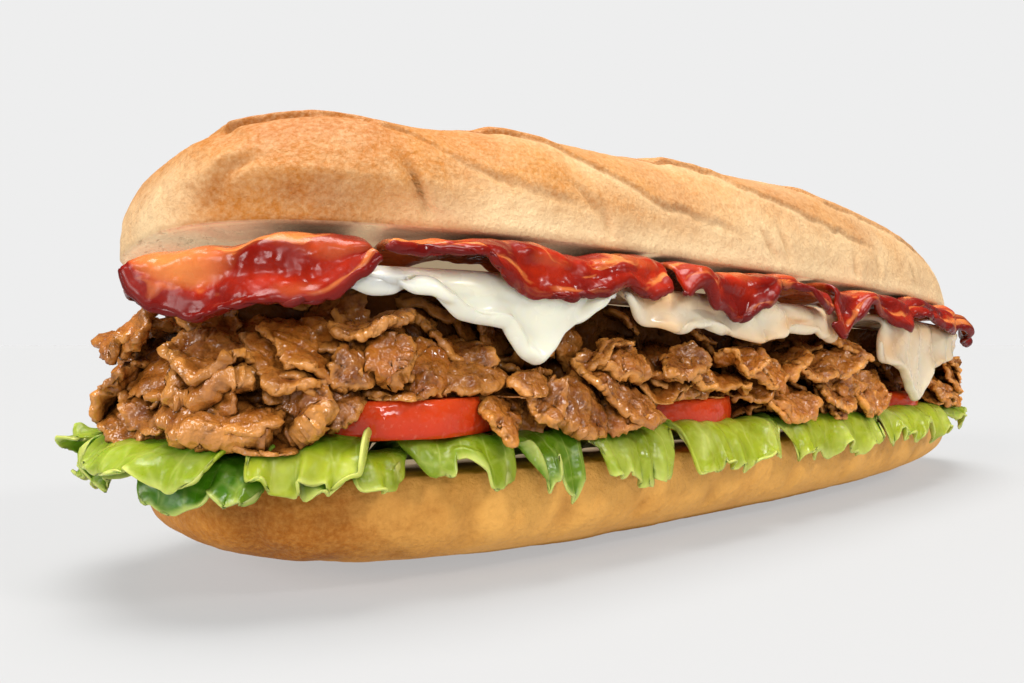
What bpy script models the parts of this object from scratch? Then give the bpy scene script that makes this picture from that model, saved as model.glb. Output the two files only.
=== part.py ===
# Submarine sandwich: a long split roll with lettuce, tomato, shaved meat, melted cheese and bacon.
# Frame: +X along the roll, -Y the open front, +Z up. The origin is under the middle of the roll,
# on the flat spot that it rests on. Lengths are in metres.

import math
import random

import bmesh
import bpy
import numpy as np
from mathutils import Euler, Matrix, Vector

MM = 0.001

# Driving dimensions
ROLL_LENGTH = 280 * MM
ROLL_WIDTH = 80 * MM
CROWN_HEIGHT = 29.4 * MM
BASE_HEIGHT = 19.8 * MM  # height of the base's cut face over its middle
BASE_SLOPE = -0.012  # and its slope along the roll
CROWN_MIDDLE_Z = 56.3 * MM  # height of the crown's cut face over the roll's middle
CROWN_NOSE_DOWN = math.radians(2.3)  # the crown slopes down towards +X
CROWN_GAPE = math.radians(7.9)  # and lies open towards the front
GAP = 0.3 * MM  # clearance between pieces that touch
NEARLY_ZERO = 1e-7

PLAN_POWER = 3.05  # the superellipse of the roll seen from above
CROWN_POWER = 2.8  # and of the rounded sections
BASE_POWER = 3.0  # at the middle of the base's length
BASE_POWER_ENDS = 3.9
CROWN_BULGE = 0.15  # the crown is this much higher towards the right of its middle
BULGE_X = 42 * MM
BULGE_WIDTH = 66 * MM
BASE_LENGTH = ROLL_LENGTH - 6.5 * MM
BASE_WIDTH = ROLL_WIDTH - 1 * MM
BASE_SHIFT_X = 1.5 * MM
FLAT_CUT = 0.6 * MM  # cut off the base's round underside, which leaves the flat spot it rests on

LEAF_THICKNESS = 0.9 * MM
TOMATO_THICKNESS = 6.6 * MM
TOMATO_RADIUS = 21.5 * MM
SLICE_THICKNESS = 2.6 * MM
CHEESE_THICKNESS = 2.2 * MM
BACON_THICKNESS = 2.0 * MM

CEILING_DROP = 9.5 * MM  # the meat's top is this far under the crown
CHEESE_DROP = 8.0 * MM  # the middle of the cheese sheet
BACON_DROP = 2.9 * MM  # the middle of the bacon's waves
CORE_INSET = 7 * MM  # the pile's dense core stays this far inside the edge
UPPER_REACH = 0.0 * MM  # how far the upper meat comes out past the roll's edge
LOWER_REACH = 6.5 * MM  # and the lower meat

COLOURS = {
    "crust": ((0.68, 0.39, 0.16, 1), 0.55),
    "lettuce": ((0.27, 0.47, 0.05, 1), 0.40),
    "tomato": ((0.72, 0.07, 0.03, 1), 0.25),
    "meat": ((0.33, 0.15, 0.05, 1), 0.40),
    "cheese": ((0.86, 0.80, 0.62, 1), 0.22),
    "bacon": ((0.45, 0.05, 0.02, 1), 0.25),
}


def clear_scene():
    for obj in list(bpy.data.objects):
        bpy.data.objects.remove(obj, do_unlink=True)


def make_material(name):
    colour, roughness = COLOURS[name]
    material = bpy.data.materials.new(name)
    material.use_nodes = True
    shader = material.node_tree.nodes["Principled BSDF"]
    shader.inputs["Base Color"].default_value = colour
    shader.inputs["Roughness"].default_value = roughness
    shader.inputs["Metallic"].default_value = 0.0
    return material


def add_object(name, bm, material, smooth=True):
    mesh = bpy.data.meshes.new(name)
    bm.to_mesh(mesh)
    bm.free()
    if smooth:
        mesh.shade_smooth()
    mesh.materials.append(material)
    obj = bpy.data.objects.new(name, mesh)
    bpy.context.scene.collection.objects.link(obj)
    return obj


def smoothstep(low, high, value):
    t = min(1.0, max(0.0, (value - low) / (high - low)))
    return t * t * (3 - 2 * t)


class Outline:
    """The roll's edge seen from above, measured along its length from the middle of the front, +X first."""

    def __init__(self, length, width, power):
        self.half_length = length / 2
        self.half_width = width / 2
        angles = np.linspace(-math.pi / 2, 1.5 * math.pi, 4001)
        cosines, sines = np.cos(angles), np.sin(angles)
        self.x = self.half_length * np.sign(cosines) * np.abs(cosines) ** (2 / power)
        self.y = self.half_width * np.sign(sines) * np.abs(sines) ** (2 / power)
        steps = np.hypot(np.diff(self.x), np.diff(self.y))
        self.along = np.concatenate([[0], np.cumsum(steps)])
        self.perimeter = float(self.along[-1])

    def at(self, distance):
        """The edge point and the way out of the roll there, both level."""
        distance = distance % self.perimeter
        point = Vector((np.interp(distance, self.along, self.x), np.interp(distance, self.along, self.y), 0))
        spine = self.half_length - self.half_width
        middle = Vector((min(spine, max(-spine, point.x)), 0, 0))
        return point, (point - middle).normalized()

    def place(self, distance, offset, height):
        point, outward = self.at(distance)
        spot = point + outward * offset
        return Vector((spot.x, spot.y, height))


EDGE = Outline(ROLL_LENGTH, ROLL_WIDTH, PLAN_POWER)


def crown_face(x, y):
    """Height of the crown's cut face."""
    return CROWN_MIDDLE_Z - x * math.tan(CROWN_NOSE_DOWN) - y * math.tan(CROWN_GAPE)


def base_face(x):
    """Height of the base's cut face."""
    return BASE_HEIGHT + BASE_SLOPE * x


def loaf_point(s, t, length, width, height, power):
    """A point of half a loaf from grid coordinates -1 to 1: the edge of the grid is the loaf's rim."""
    ring = max(abs(s), abs(t))
    if ring < 1e-6:
        return Vector((0, 0, height))
    across, along = t / ring, s / ring
    corner = 0.5 ** (1 / PLAN_POWER)
    if abs(across) >= abs(along):
        x = corner * along
        y = math.copysign((1 - abs(x) ** PLAN_POWER) ** (1 / PLAN_POWER), across)
    else:
        y = corner * across
        x = math.copysign((1 - abs(y) ** PLAN_POWER) ** (1 / PLAN_POWER), along)
    turn = ring * math.pi / 2
    shrink = math.sin(turn) ** (2 / power)
    rise = max(0.0, math.cos(turn)) ** (2 / power)
    return Vector((x * shrink * length / 2, y * shrink * width / 2, rise * height))


# Each score is a line across the crown as (x, share of the way from the top to the rim, front negative).
SCORES = (
    ((-129, -0.40), (-121, -0.47), (-112, -0.51), (-101, -0.66), (-92, -0.80), (-78, -0.87), (-56, -0.93)),
    (
        (-118, 0.45), (-92, -0.20), (-82, -0.47), (-68, -0.54),
        (-63, -0.65), (-50, -0.77), (-39, -0.85), (-8, -0.92),
    ),
    (
        (-72, 0.48), (-42, -0.20), (-31, -0.42), (-14, -0.50),
        (-7, -0.61), (6, -0.69), (20, -0.76), (60, -0.86),
    ),
    ((-30, 0.50), (24, -0.32), (36, -0.56), (60, -0.62), (88, -0.72), (114, -0.82)),
    ((44, 0.66), (70, 0.30), (98, -0.05), (120, -0.35)),
)
EAR_STARTS = (-128.5 * MM, -80.5 * MM, -30 * MM, 28 * MM, 60 * MM)  # the torn crust stands up from here on
EAR_HEIGHTS = (2.0 * MM, 1.9 * MM, 2.0 * MM, 0.9 * MM, 0.8 * MM)
EAR_WIDTH = 14 * MM
EAR_RISE = 3 * MM  # the length in which an ear reaches its height
EAR_TOP_SHARE = 0.12  # its height before its start, on top of the crown
EAR_LOW_SHARE = 0.25  # and low down at the front
EAR_LOW_T, EAR_HIGH_T = -0.85, -0.5
GROOVE_DEPTH = 0.9 * MM
GROOVE_WIDTH = 5 * MM
SCORE_START = 4 * MM  # a score fades in over this length, and out over the next
SCORE_END = 25 * MM
GIRTH = 57 * MM  # from the crown's top round to its rim
SCORE_SLANT = 0.75  # the distance across a score, as a share of the distance round the roll
END_SWELL = 3.0 * MM  # the crown is this much fuller near its left end, between these places
SWELL_IN = (-140 * MM, -130 * MM)
SWELL_OUT = (-118 * MM, -88 * MM)
END_LEAN = 0.3  # how far a bump's way out leans towards the roll's ends
RIM_FADE = 0.9  # relief fades from this share of the way to the rim
CROWN_GRID = (40, 14)
BASE_GRID = (36, 12)


def score_relief(x, t):
    """How far the crown's surface stands out at x, t because of the scores and the fuller left end."""
    relief = END_SWELL * smoothstep(*SWELL_IN, x) * (1 - smoothstep(*SWELL_OUT, x))
    for line, start, ear in zip(SCORES, EAR_STARTS, EAR_HEIGHTS):
        xs = [point[0] * MM for point in line]
        if not xs[0] < x < xs[-1]:
            continue
        middle = float(np.interp(x, xs, [point[1] for point in line]))
        across = (t - middle) * GIRTH * SCORE_SLANT
        ends = smoothstep(xs[0], xs[0] + SCORE_START, x) * (1 - smoothstep(xs[-1] - SCORE_END, xs[-1], x))
        lifted = EAR_TOP_SHARE + (1 - EAR_TOP_SHARE) * smoothstep(start, start + EAR_RISE, x)
        lifted *= EAR_LOW_SHARE + (1 - EAR_LOW_SHARE) * smoothstep(EAR_LOW_T, EAR_HIGH_T, middle)
        if across >= 0:
            relief += ends * ear * lifted * math.exp(-across / EAR_WIDTH)
        else:
            relief -= ends * GROOVE_DEPTH * lifted * math.exp(across / GROOVE_WIDTH)
    return relief


def close_rim(bm):
    """Fills the open rim of a half loaf with its flat cut face."""
    rim = [edge for edge in bm.edges if edge.is_boundary]
    bmesh.ops.contextual_create(bm, geom=rim)
    bmesh.ops.recalc_face_normals(bm, faces=bm.faces)


def make_crown(material):
    bm = bmesh.new()
    bmesh.ops.create_grid(bm, x_segments=CROWN_GRID[0], y_segments=CROWN_GRID[1], size=1)
    for vert in bm.verts:
        s, t = vert.co.x, vert.co.y
        spot = loaf_point(s, t, ROLL_LENGTH, ROLL_WIDTH, CROWN_HEIGHT, CROWN_POWER)
        spot.z *= 1 + CROWN_BULGE * math.exp(-(((spot.x - BULGE_X) / BULGE_WIDTH) ** 2))
        ring = max(abs(s), abs(t))
        outward = Vector((END_LEAN * spot.x, spot.y, spot.z)).normalized()
        spot += outward * score_relief(spot.x, t) * (1 - smoothstep(RIM_FADE, 1.0, ring))
        vert.co = spot
    close_rim(bm)
    crown = add_object("roll_crown", bm, material)
    crown.location = (0, 0, CROWN_MIDDLE_Z)
    crown.rotation_euler = Euler((-CROWN_GAPE, CROWN_NOSE_DOWN, 0))
    return crown


def make_base(material):
    bm = bmesh.new()
    bmesh.ops.create_grid(bm, x_segments=BASE_GRID[0], y_segments=BASE_GRID[1], size=1)
    for vert in bm.verts:
        power = BASE_POWER + (BASE_POWER_ENDS - BASE_POWER) * vert.co.x**2
        spot = loaf_point(vert.co.x, vert.co.y, BASE_LENGTH, BASE_WIDTH, 1, power)
        spot.x += BASE_SHIFT_X
        top = base_face(spot.x)
        vert.co = Vector((spot.x, spot.y, max(0.0, top - spot.z * (top + FLAT_CUT))))
    flat = [face for face in bm.faces if all(vert.co.z < NEARLY_ZERO for vert in face.verts)]
    bmesh.ops.dissolve_faces(bm, faces=flat)
    close_rim(bm)
    return add_object("roll_base", bm, material)


def sheet_object(name, columns, rows, shape, thickness, material):
    """A thin solid: a grid placed by shape(u, v), u and v from 0 to 1, split into triangles and thickened."""
    bm = bmesh.new()
    bmesh.ops.create_grid(bm, x_segments=columns, y_segments=rows, size=0.5)
    for vert in bm.verts:
        vert.co = shape(vert.co.x + 0.5, vert.co.y + 0.5)
    bmesh.ops.triangulate(bm, faces=bm.faces)
    obj = add_object(name, bm, material)
    solid = obj.modifiers.new("Thickness", "SOLIDIFY")
    solid.thickness = thickness
    solid.offset = 0
    return obj


def path_point(path, v):
    """A point along a path of (offset, height) pairs at share v of its stretches."""
    place = v * (len(path) - 1)
    first = min(int(place), len(path) - 2)
    share = place - first
    (o0, z0), (o1, z1) = path[first], path[first + 1]
    return o0 + (o1 - o0) * share, z0 + (z1 - z0) * share


# Leaves as (name, start and end along the edge, level inside, crest, reach, level of the outer edge).
# Their levels are counted from the base's cut face.
LEAVES = (
    ("end_left", -193, -166, 2.6, 5.0, 9.5, 4.5),
    ("end_left_low", -190, -151, 0.9, 1.3, 7.5, 0.0),
    ("front_1", -148, -126, 1.1, 1.6, 7.0, -0.4),
    ("front_1_upper", -163, -132, 2.6, 4.6, 9.5, 3.5),
    ("front_2", -124, -106, 1.1, 1.6, 6.0, 0.8),
    ("front_2_upper", -130, -112, 2.6, 5.2, 7.0, 3.0),
    ("front_3", -105, -87, 1.6, 4.6, 6.5, 0.5),
    ("front_4", -85, -70, 0.9, 4.2, 7.0, -3.5),
    ("front_5", -68, -45, 0.9, 4.0, 6.0, -2.5),
    ("front_6", -43, -6, 0.9, 4.0, 6.0, -1.5),
    ("front_7", -4, 42, 0.9, 3.8, 6.0, -1.5),
    ("front_8", 44, 96, 0.9, 3.0, 6.0, -1.5),
    ("end_right", 98, 158, 0.9, 3.0, 6.5, -0.5),
    ("back_1", 160, 222, 0.9, 3.0, 6.5, -1.5),
    ("back_2", 224, 280, 0.9, 3.4, 7.0, -2.5),
    ("back_3", 282, 338, 0.9, 3.8, 6.0, -1.5),
    ("back_4", 340, 392, 0.9, 4.2, 7.0, -2.5),
    ("back_5", 394, 444, 0.9, 4.6, 7.0, -0.5),
)
RUFFLE_LENGTH = 17 * MM
RUFFLE_HEIGHT = 1.5 * MM
RUFFLE_REACH = 0.8 * MM
LEAF_INSIDE = 15 * MM  # how far a leaf reaches in over the base
LEAF_BEND = 5 * MM  # it starts to rise this far inside the edge
LEAF_BEND_SHARE = 0.6  # and has this share of its rise there
LEAF_CREST_OUT = 1.5 * MM  # its crest is this far outside the edge
LEAF_HANG_OUT = 0.7  # the point before its outer edge, as shares of its reach and of its fall
LEAF_HANG_DOWN = 0.45
LEAF_DROOP = 0.4
LEAF_COLUMN = 6.5 * MM  # length of a leaf for each column of its grid
LEAF_ROWS = 4


def make_leaf(row, material):
    name = row[0]
    start, end, level, crest, reach, tip = (value * MM for value in row[1:])
    path = (
        (-LEAF_INSIDE, level),
        (-LEAF_BEND, level + LEAF_BEND_SHARE * (crest - level)),
        (LEAF_CREST_OUT, crest),
        (reach * LEAF_HANG_OUT, crest + LEAF_HANG_DOWN * (tip - crest)),
        (reach, tip),
    )
    columns = max(LEAF_ROWS, round((end - start) / LEAF_COLUMN))

    def shape(u, v):
        along = start + (end - start) * u
        offset, height = path_point(path, v)
        ruffle = math.sin(along / RUFFLE_LENGTH * 2 * math.pi) * max(0.0, 2 * v - 1)
        droop = LEAF_DROOP * (1 - math.cos(2 * math.pi * v)) * math.sin(along / RUFFLE_LENGTH * 4)
        spot = EDGE.place(along, offset + RUFFLE_REACH * ruffle, height + RUFFLE_HEIGHT * (ruffle - abs(droop)))
        spot.z += base_face(spot.x)
        return spot

    return sheet_object("lettuce_" + name, columns, LEAF_ROWS, shape, LEAF_THICKNESS, material)


# Tomato half slices as (name, centre x, centre y, underside, turn of the round side from the front in degrees).
TOMATOES = (
    ("front_left", -99, -17, 28.4, -3),
    ("front_middle", -28, -19, 25.4, 4),
    ("front_right", 72, -17.5, 22.6, 3),
    ("back_left", -84, 17, 27.0, 176),
    ("back_middle", 8, 19, 25.0, 184),
    ("back_right", 84, 16, 22.8, 178),
)


TOMATO_SEGMENTS = 24


def add_tomato(row, name, material, grow=0.0):
    """A half slice of tomato, its round side out and its cut side in, grown by a margin all over."""
    _, x, y, underside, turn = row
    bm = bmesh.new()
    bmesh.ops.create_circle(bm, cap_ends=True, segments=TOMATO_SEGMENTS, radius=TOMATO_RADIUS + grow)
    everything = bm.verts[:] + bm.edges[:] + bm.faces[:]
    bmesh.ops.bisect_plane(bm, geom=everything, plane_co=(0, grow, 0), plane_no=(0, 1, 0), clear_outer=True)
    made = bmesh.ops.extrude_face_region(bm, geom=bm.faces[:])
    raised = [item for item in made["geom"] if isinstance(item, bmesh.types.BMVert)]
    bmesh.ops.translate(bm, verts=raised, vec=(0, 0, TOMATO_THICKNESS + 2 * grow))
    bmesh.ops.recalc_face_normals(bm, faces=bm.faces)
    tomato = add_object(name, bm, material, smooth=False)
    tomato.location = (x * MM, y * MM, underside * MM - grow)
    tomato.rotation_euler = Euler((0, 0, math.radians(turn)))
    return tomato


# Melted cheese as (name, start, end, lowest height between drips, drips as (where, lowest height)).
CHEESES = (
    ("front_left", -118, -63, 50.0, ((-92, 46.0), (-78.5, 40.5))),
    ("front_middle", -60, 21, 46.5, ((-38, 44.0), (-12, 43.5), (6, 44.5))),
    ("front_right", 46, 108, 41.0, ((58, 36.0), (70, 28.5), (90, 34.5))),
    ("back_left", 386, 432, 41.0, ((404, 37.5),)),
    ("back_right", 252, 318, 36.5, ((276, 32.0), (300, 34.0))),
)
DRIP_WIDTH = 7 * MM
TAPER = 13 * MM  # towards its ends a sheet hangs less, over this length
TAPER_HANG = 5 * MM
CHEESE_INSIDE = 12 * MM  # how far a sheet reaches in under the crown
CHEESE_SHOULDER = (0.6 * MM, 3.0 * MM)  # it bends down between these places outside the edge
CHEESE_SHOULDER_DROP = 2.4 * MM
CHEESE_HANG = (3.1 * MM, 3.2 * MM)  # and hangs this far out, at its middle and its hem
CHEESE_MIDDLE_DROP = 1 * MM
SHEET_COLUMN = 5.5 * MM  # length of cheese or bacon for each column of its grid
CHEESE_ROWS = 4


def make_cheese(row, material):
    name, start, end, hem, drips = row
    start, end, hem = start * MM, end * MM, hem * MM

    def lowest(along):
        low = hem
        for where, bottom in drips:
            reach = math.exp(-(((along - where * MM) / DRIP_WIDTH) ** 2))
            low = min(low, hem + (bottom * MM - hem) * reach)
        return low

    def shape(u, v):
        along = start + (end - start) * u
        inside = EDGE.place(along, -CHEESE_INSIDE, 0)
        edge = EDGE.place(along, 0, 0)
        inner_top = crown_face(inside.x, inside.y) - CHEESE_DROP
        outer_top = crown_face(edge.x, edge.y) - CHEESE_DROP
        low = lowest(along)
        ends = min(smoothstep(start, start + TAPER, along), 1 - smoothstep(end - TAPER, end, along))
        low += (1 - ends) * max(0.0, outer_top - TAPER_HANG - low)
        path = (
            (-CHEESE_INSIDE, inner_top),
            (CHEESE_SHOULDER[0], outer_top),
            (CHEESE_SHOULDER[1], outer_top - CHEESE_SHOULDER_DROP),
            (CHEESE_HANG[0], (outer_top + low) / 2 - CHEESE_MIDDLE_DROP),
            (CHEESE_HANG[1], low),
        )
        return EDGE.place(along, *path_point(path, v))

    columns = round((end - start) / SHEET_COLUMN)
    return sheet_object("cheese_" + name, columns, CHEESE_ROWS, shape, CHEESE_THICKNESS, material)


# Rashers as (name, start, end, reach, height of the hanging edge, its wave's height and length, its phase).
RASHERS = (
    ("end_left", -199, -156, -2.5, 55.0, 0.8, 24, 0.10),
    ("front_left", -154, -112, 6.0, 50.0, 1.8, 40, 0.60),
    ("front_second", -110, -49, 6.2, 56.0, 2.0, 34, 0.55),
    ("front_third", -46, 12, 6.2, 53.5, 3.8, 36, 0.18),
    ("front_right", 15, 128, 6.2, 48.5, 2.6, 29, 0.30),
    ("back_left", 398, 438, 6.2, 45.0, 2.0, 34, 0.20),
    ("back_middle", 316, 394, 6.2, 42.5, 2.2, 36, 0.60),
    ("back_right", 200, 312, 6.2, 38.5, 2.0, 33, 0.00),
)
RASHER_INSIDE = 15 * MM  # how far a rasher reaches in under the crown
RASHER_BEND = 7.2 * MM  # it starts to bend down this far short of its reach
RASHER_SHOULDER_DROP = 2.4 * MM
RASHER_LEAST_HANG = 2.6 * MM
RASHER_EDGE_DROP = 0.6 * MM
RASHER_FLARE = 0.6 * MM  # its hanging edge stands out this much more
INNER_WAVE, OUTER_WAVE, REACH_WAVE = 1.2 * MM, 0.8 * MM, 0.5 * MM
RASHER_ROWS = 3
LEAST_COLUMNS = 8


def make_rasher(row, material):
    name, phase = row[0], row[-1]
    start, end, reach, hang, wave, length = (value * MM for value in row[1:-1])

    def shape(u, v):
        along = start + (end - start) * u
        turn = 2 * math.pi * ((along - start) / length + phase)
        inside = EDGE.place(along, -RASHER_INSIDE, 0)
        edge = EDGE.place(along, 0, 0)
        inner = crown_face(inside.x, inside.y) - BACON_DROP + INNER_WAVE * math.sin(turn)
        outer = crown_face(edge.x, edge.y) - BACON_DROP - RASHER_EDGE_DROP + OUTER_WAVE * math.sin(turn)
        out = reach + REACH_WAVE * math.sin(turn * 2 + 1)
        low = min(hang + wave * math.sin(turn), outer - RASHER_LEAST_HANG)
        path = (
            (-RASHER_INSIDE, inner),
            (reach - RASHER_BEND, outer),
            (out, outer - RASHER_SHOULDER_DROP),
            (out + RASHER_FLARE, low),
        )
        return EDGE.place(along, *path_point(path, v))

    columns = max(LEAST_COLUMNS, round((end - start) / SHEET_COLUMN))
    return sheet_object("bacon_" + name, columns, RASHER_ROWS, shape, BACON_THICKNESS, material)


MEAT_SEED = 41
MEAT_LEVELS = 3
LEVEL_SPACING = 27 * MM
POCKET_GAP = 0.5 * MM
MEAT_FLOOR = 25.0 * MM  # height of the meat's underside over the roll's middle, where it lies on the lettuce
MEAT_FLOOR_SLOPE = -0.018  # and its slope along the roll

# The slices that stand out at the front as (along, height, length, slope along the slice, turned-down edge).
SHOWN_SLICES = (
    (-167, 36, 22, -0.20, 3),
    (-159, 44, 20, 0.15, 2),
    (-148, 31, 25, 0.05, 3),
    (-133, 30, 23, -0.10, 4),
    (-138, 37, 23, 0.05, 2),
    (-121, 33, 18, 0.25, 6),
    (-141, 44, 19, -0.15, 2),
    (-126, 43, 24, 0.20, 4),
    (-111, 42, 15, -0.30, 6),
    (-99, 37, 17, 0.35, 7),
    (-87, 42, 28, -0.25, 3),
    (-94, 39, 14, 0.30, 8),
    (-75, 32, 19, -0.35, 7),
    (-63, 28, 19, 0.10, 5),
    (-66, 39, 17, 0.20, 5),
    (-54, 37, 20, -0.45, 9),
    (-43, 40, 19, 0.20, 4),
    (-29, 39, 20, -0.25, 4),
    (-13, 40, 21, 0.10, 3),
    (1, 30, 20, -0.15, 5),
    (4, 38, 19, 0.30, 4),
)
SHOWN_END = 12 * MM
LEVEL_STAGGER = 0.33  # each level starts this share of the spacing further along
SPACING_SPREAD = (0.85, 1.15)
HEIGHT_IN_LEVEL = (0.3, 0.7)
OTHER_LENGTH = (20 * MM, 28 * MM)
OTHER_SLOPE = (-0.35, 0.35)
OTHER_BEND = (2 * MM, 8 * MM)
SLICE_WIDTH = (15 * MM, 20 * MM)
SLICE_RUFFLE = (0.5 * MM, 1.8 * MM)
SLICE_PHASE = (0, 6)
SLICE_REACH_SPREAD = 2.5 * MM
SLICE_FACING = (-0.4, 0.4)
SLICE_TILT = (-0.2, 0.2)
SLICE_SETTLE = (0.02 * MM, 0.5 * MM)  # keeps slices that touch a limit from lying in one plane
SLICE_TAPER = 0.55
SLICE_WAVE = 5
SLICE_GRID = (3, 2)
COVERED_MARGIN = 4 * MM
UNDER_SLICE = 8 * MM  # a slice lies on a tomato that is under this place inside the edge
HEM_MARGIN = 1.5 * MM  # half a hanging sheet's thickness, and a clearance
DRIP_REACH = 1.3
CORE_GRID = (14, 4)
CORE_UNDER_CEILING = 0.6 * MM


def tomato_top(x, y):
    """The height that meat keeps over the tomato slice under this spot, or None."""
    for _, cx, cy, underside, _ in TOMATOES:
        if math.hypot(x - cx * MM, y - cy * MM) < TOMATO_RADIUS:
            return underside * MM + TOMATO_THICKNESS + GAP
    return None


def hangs_over(along, items, margin):
    """The lowest height of the hanging pieces of this list that cover a spot along the edge, or None."""
    lowest = None
    for start, end, low in items:
        for turn in (-EDGE.perimeter, 0, EDGE.perimeter):
            if start - margin < along + turn < end + margin:
                lowest = low if lowest is None else min(lowest, low)
    return lowest


def hanging_items():
    """Start, end and lowest height of every stretch of cheese and bacon that hangs down the side."""
    items = []
    for _, start, end, hem, drips in CHEESES:
        items.append((start * MM, end * MM, hem * MM - HEM_MARGIN))
        for where, bottom in drips:
            reach = DRIP_REACH * DRIP_WIDTH
            items.append((where * MM - reach, where * MM + reach, bottom * MM - HEM_MARGIN))
    for _, start, end, _, hang, wave, _, _ in RASHERS:
        items.append((start * MM, end * MM, (hang - wave) * MM - HEM_MARGIN))
    return items


def meat_floor(x):
    return MEAT_FLOOR + MEAT_FLOOR_SLOPE * x


def meat_ceiling(x, y):
    return crown_face(x, y) - CEILING_DROP


def meat_slices():
    """Every slice of the pile: first those that show at the front, then three rough rings for the rest."""
    draw = random.Random(MEAT_SEED)
    rows = []
    for along, height, length, slope, bend in SHOWN_SLICES:
        rows.append((along * MM, height * MM, length * MM, slope, bend * MM))
    first_shown = min(row[0] for row in rows)
    for level in range(MEAT_LEVELS):
        along = SHOWN_END + LEVEL_SPACING * LEVEL_STAGGER * level
        while along < EDGE.perimeter + first_shown:
            point, _ = EDGE.at(along)
            low, high = meat_floor(point.x), meat_ceiling(point.x, point.y)
            height = low + (high - low) * (level + draw.uniform(*HEIGHT_IN_LEVEL)) / MEAT_LEVELS
            length, slope = draw.uniform(*OTHER_LENGTH), draw.uniform(*OTHER_SLOPE)
            rows.append((along, height, length, slope, draw.uniform(*OTHER_BEND)))
            along += LEVEL_SPACING * draw.uniform(*SPACING_SPREAD)
    return rows


def slice_mesh(length, width, bend, ruffle, phase):
    """One shaved slice's underside, lying flat, its outer edge at -Y turned down by bend."""
    bm = bmesh.new()
    bmesh.ops.create_grid(bm, x_segments=SLICE_GRID[0], y_segments=SLICE_GRID[1], size=0.5)
    for vert in bm.verts:
        u, v = vert.co.x, vert.co.y
        taper = 1 - SLICE_TAPER * abs(2 * u) ** 3
        outer = 0.5 - v
        vert.co.x = u * length
        vert.co.y = v * width * taper
        vert.co.z = ruffle * math.sin(u * SLICE_WAVE + phase) - bend * outer * outer
    bmesh.ops.triangulate(bm, faces=bm.faces)
    return bm


def thicken(bm, thickness):
    """Gives a surface with no overhang a straight thickness upwards."""
    made = bmesh.ops.extrude_face_region(bm, geom=bm.faces[:])
    raised = [item for item in made["geom"] if isinstance(item, bmesh.types.BMVert)]
    bmesh.ops.translate(bm, verts=raised, vec=(0, 0, thickness))
    bmesh.ops.recalc_face_normals(bm, faces=bm.faces)


def make_meat(material):
    draw = random.Random(MEAT_SEED + 1)
    hanging = hanging_items()
    core = make_meat_core(material)
    pieces = new_collection("meat_pieces")
    for along, height, length, slope, bend in meat_slices():
        width = draw.uniform(*SLICE_WIDTH)
        bm = slice_mesh(length, width, bend, draw.uniform(*SLICE_RUFFLE), draw.uniform(*SLICE_PHASE))
        low = hangs_over(along, hanging, length / 2)
        covered = low is not None and height > low - COVERED_MARGIN
        reach = (UPPER_REACH if covered else LOWER_REACH) - draw.uniform(0, SLICE_REACH_SPREAD)
        centre = EDGE.place(along, reach - width / 2, height)
        outward = EDGE.at(along)[1]
        facing = math.atan2(outward.y, outward.x) + math.pi / 2
        turn = Euler((draw.uniform(*SLICE_TILT), -slope, facing + draw.uniform(*SLICE_FACING)))
        bm.transform(Matrix.Translation(centre) @ turn.to_matrix().to_4x4())
        inside = EDGE.place(along, -UNDER_SLICE, 0)
        floor = tomato_top(inside.x, inside.y)
        keep_clear(bm, reach, None if covered else low, floor, draw.uniform(*SLICE_SETTLE))
        thicken(bm, SLICE_THICKNESS)
        move_to(add_object("slice", bm, material), pieces)
    apply_boolean(core, "UNION", pieces, "MANIFOLD")
    pockets = new_collection("tomato_pockets")
    for row in TOMATOES:
        move_to(add_tomato(row, "pocket", material, grow=POCKET_GAP), pockets)
    apply_boolean(core, "DIFFERENCE", pockets, "MANIFOLD")
    keep_largest_island(core)


def edge_offset(spot):
    """How far a point lies outside the roll's edge, seen from above."""
    middle = spine_point(spot)
    x_share, y_share = abs(spot.x / EDGE.half_length), abs(spot.y / EDGE.half_width)
    share = (x_share**PLAN_POWER + y_share**PLAN_POWER) ** (1 / PLAN_POWER)
    if share < 1e-6:
        return -EDGE.half_width
    return (1 - 1 / share) * (Vector((spot.x, spot.y, 0)) - middle).length


def spine_point(spot):
    """The nearest point of the roll's middle line, which ends short of its round ends."""
    spine = EDGE.half_length - EDGE.half_width
    return Vector((min(spine, max(-spine, spot.x)), 0, 0))


def keep_clear(bm, reach, low, floor, settle):
    """Pulls a slice's points in from the crown, the lettuce, the tomato and what hangs over the meat."""
    for vert in bm.verts:
        inner = Vector((vert.co.x, vert.co.y, 0))
        excess = edge_offset(inner) - reach
        if excess > 0:
            inner -= (inner - spine_point(inner)).normalized() * excess
        ceiling = meat_ceiling(inner.x, inner.y)
        if low is not None:
            ceiling = min(ceiling, low)
        bottom = meat_floor(inner.x) if floor is None else floor
        height = min(ceiling - SLICE_THICKNESS - settle, max(bottom + settle, vert.co.z))
        vert.co = Vector((inner.x, inner.y, height))


def make_meat_core(material):
    """The dense middle of the pile, from the lettuce up to the cheese."""
    length, width = ROLL_LENGTH - 2 * CORE_INSET, ROLL_WIDTH - 2 * CORE_INSET
    bm = bmesh.new()
    bmesh.ops.create_grid(bm, x_segments=CORE_GRID[0], y_segments=CORE_GRID[1], size=1)
    for vert in bm.verts:
        spot = loaf_point(vert.co.x, vert.co.y, length, width, 1, CROWN_POWER)
        vert.co = Vector((spot.x, spot.y, meat_floor(spot.x)))
    bmesh.ops.triangulate(bm, faces=bm.faces)
    made = bmesh.ops.extrude_face_region(bm, geom=bm.faces[:])
    for item in made["geom"]:
        if isinstance(item, bmesh.types.BMVert):
            item.co.z = meat_ceiling(item.co.x, item.co.y) - CORE_UNDER_CEILING
    bmesh.ops.recalc_face_normals(bm, faces=bm.faces)
    return add_object("meat", bm, material)


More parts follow.
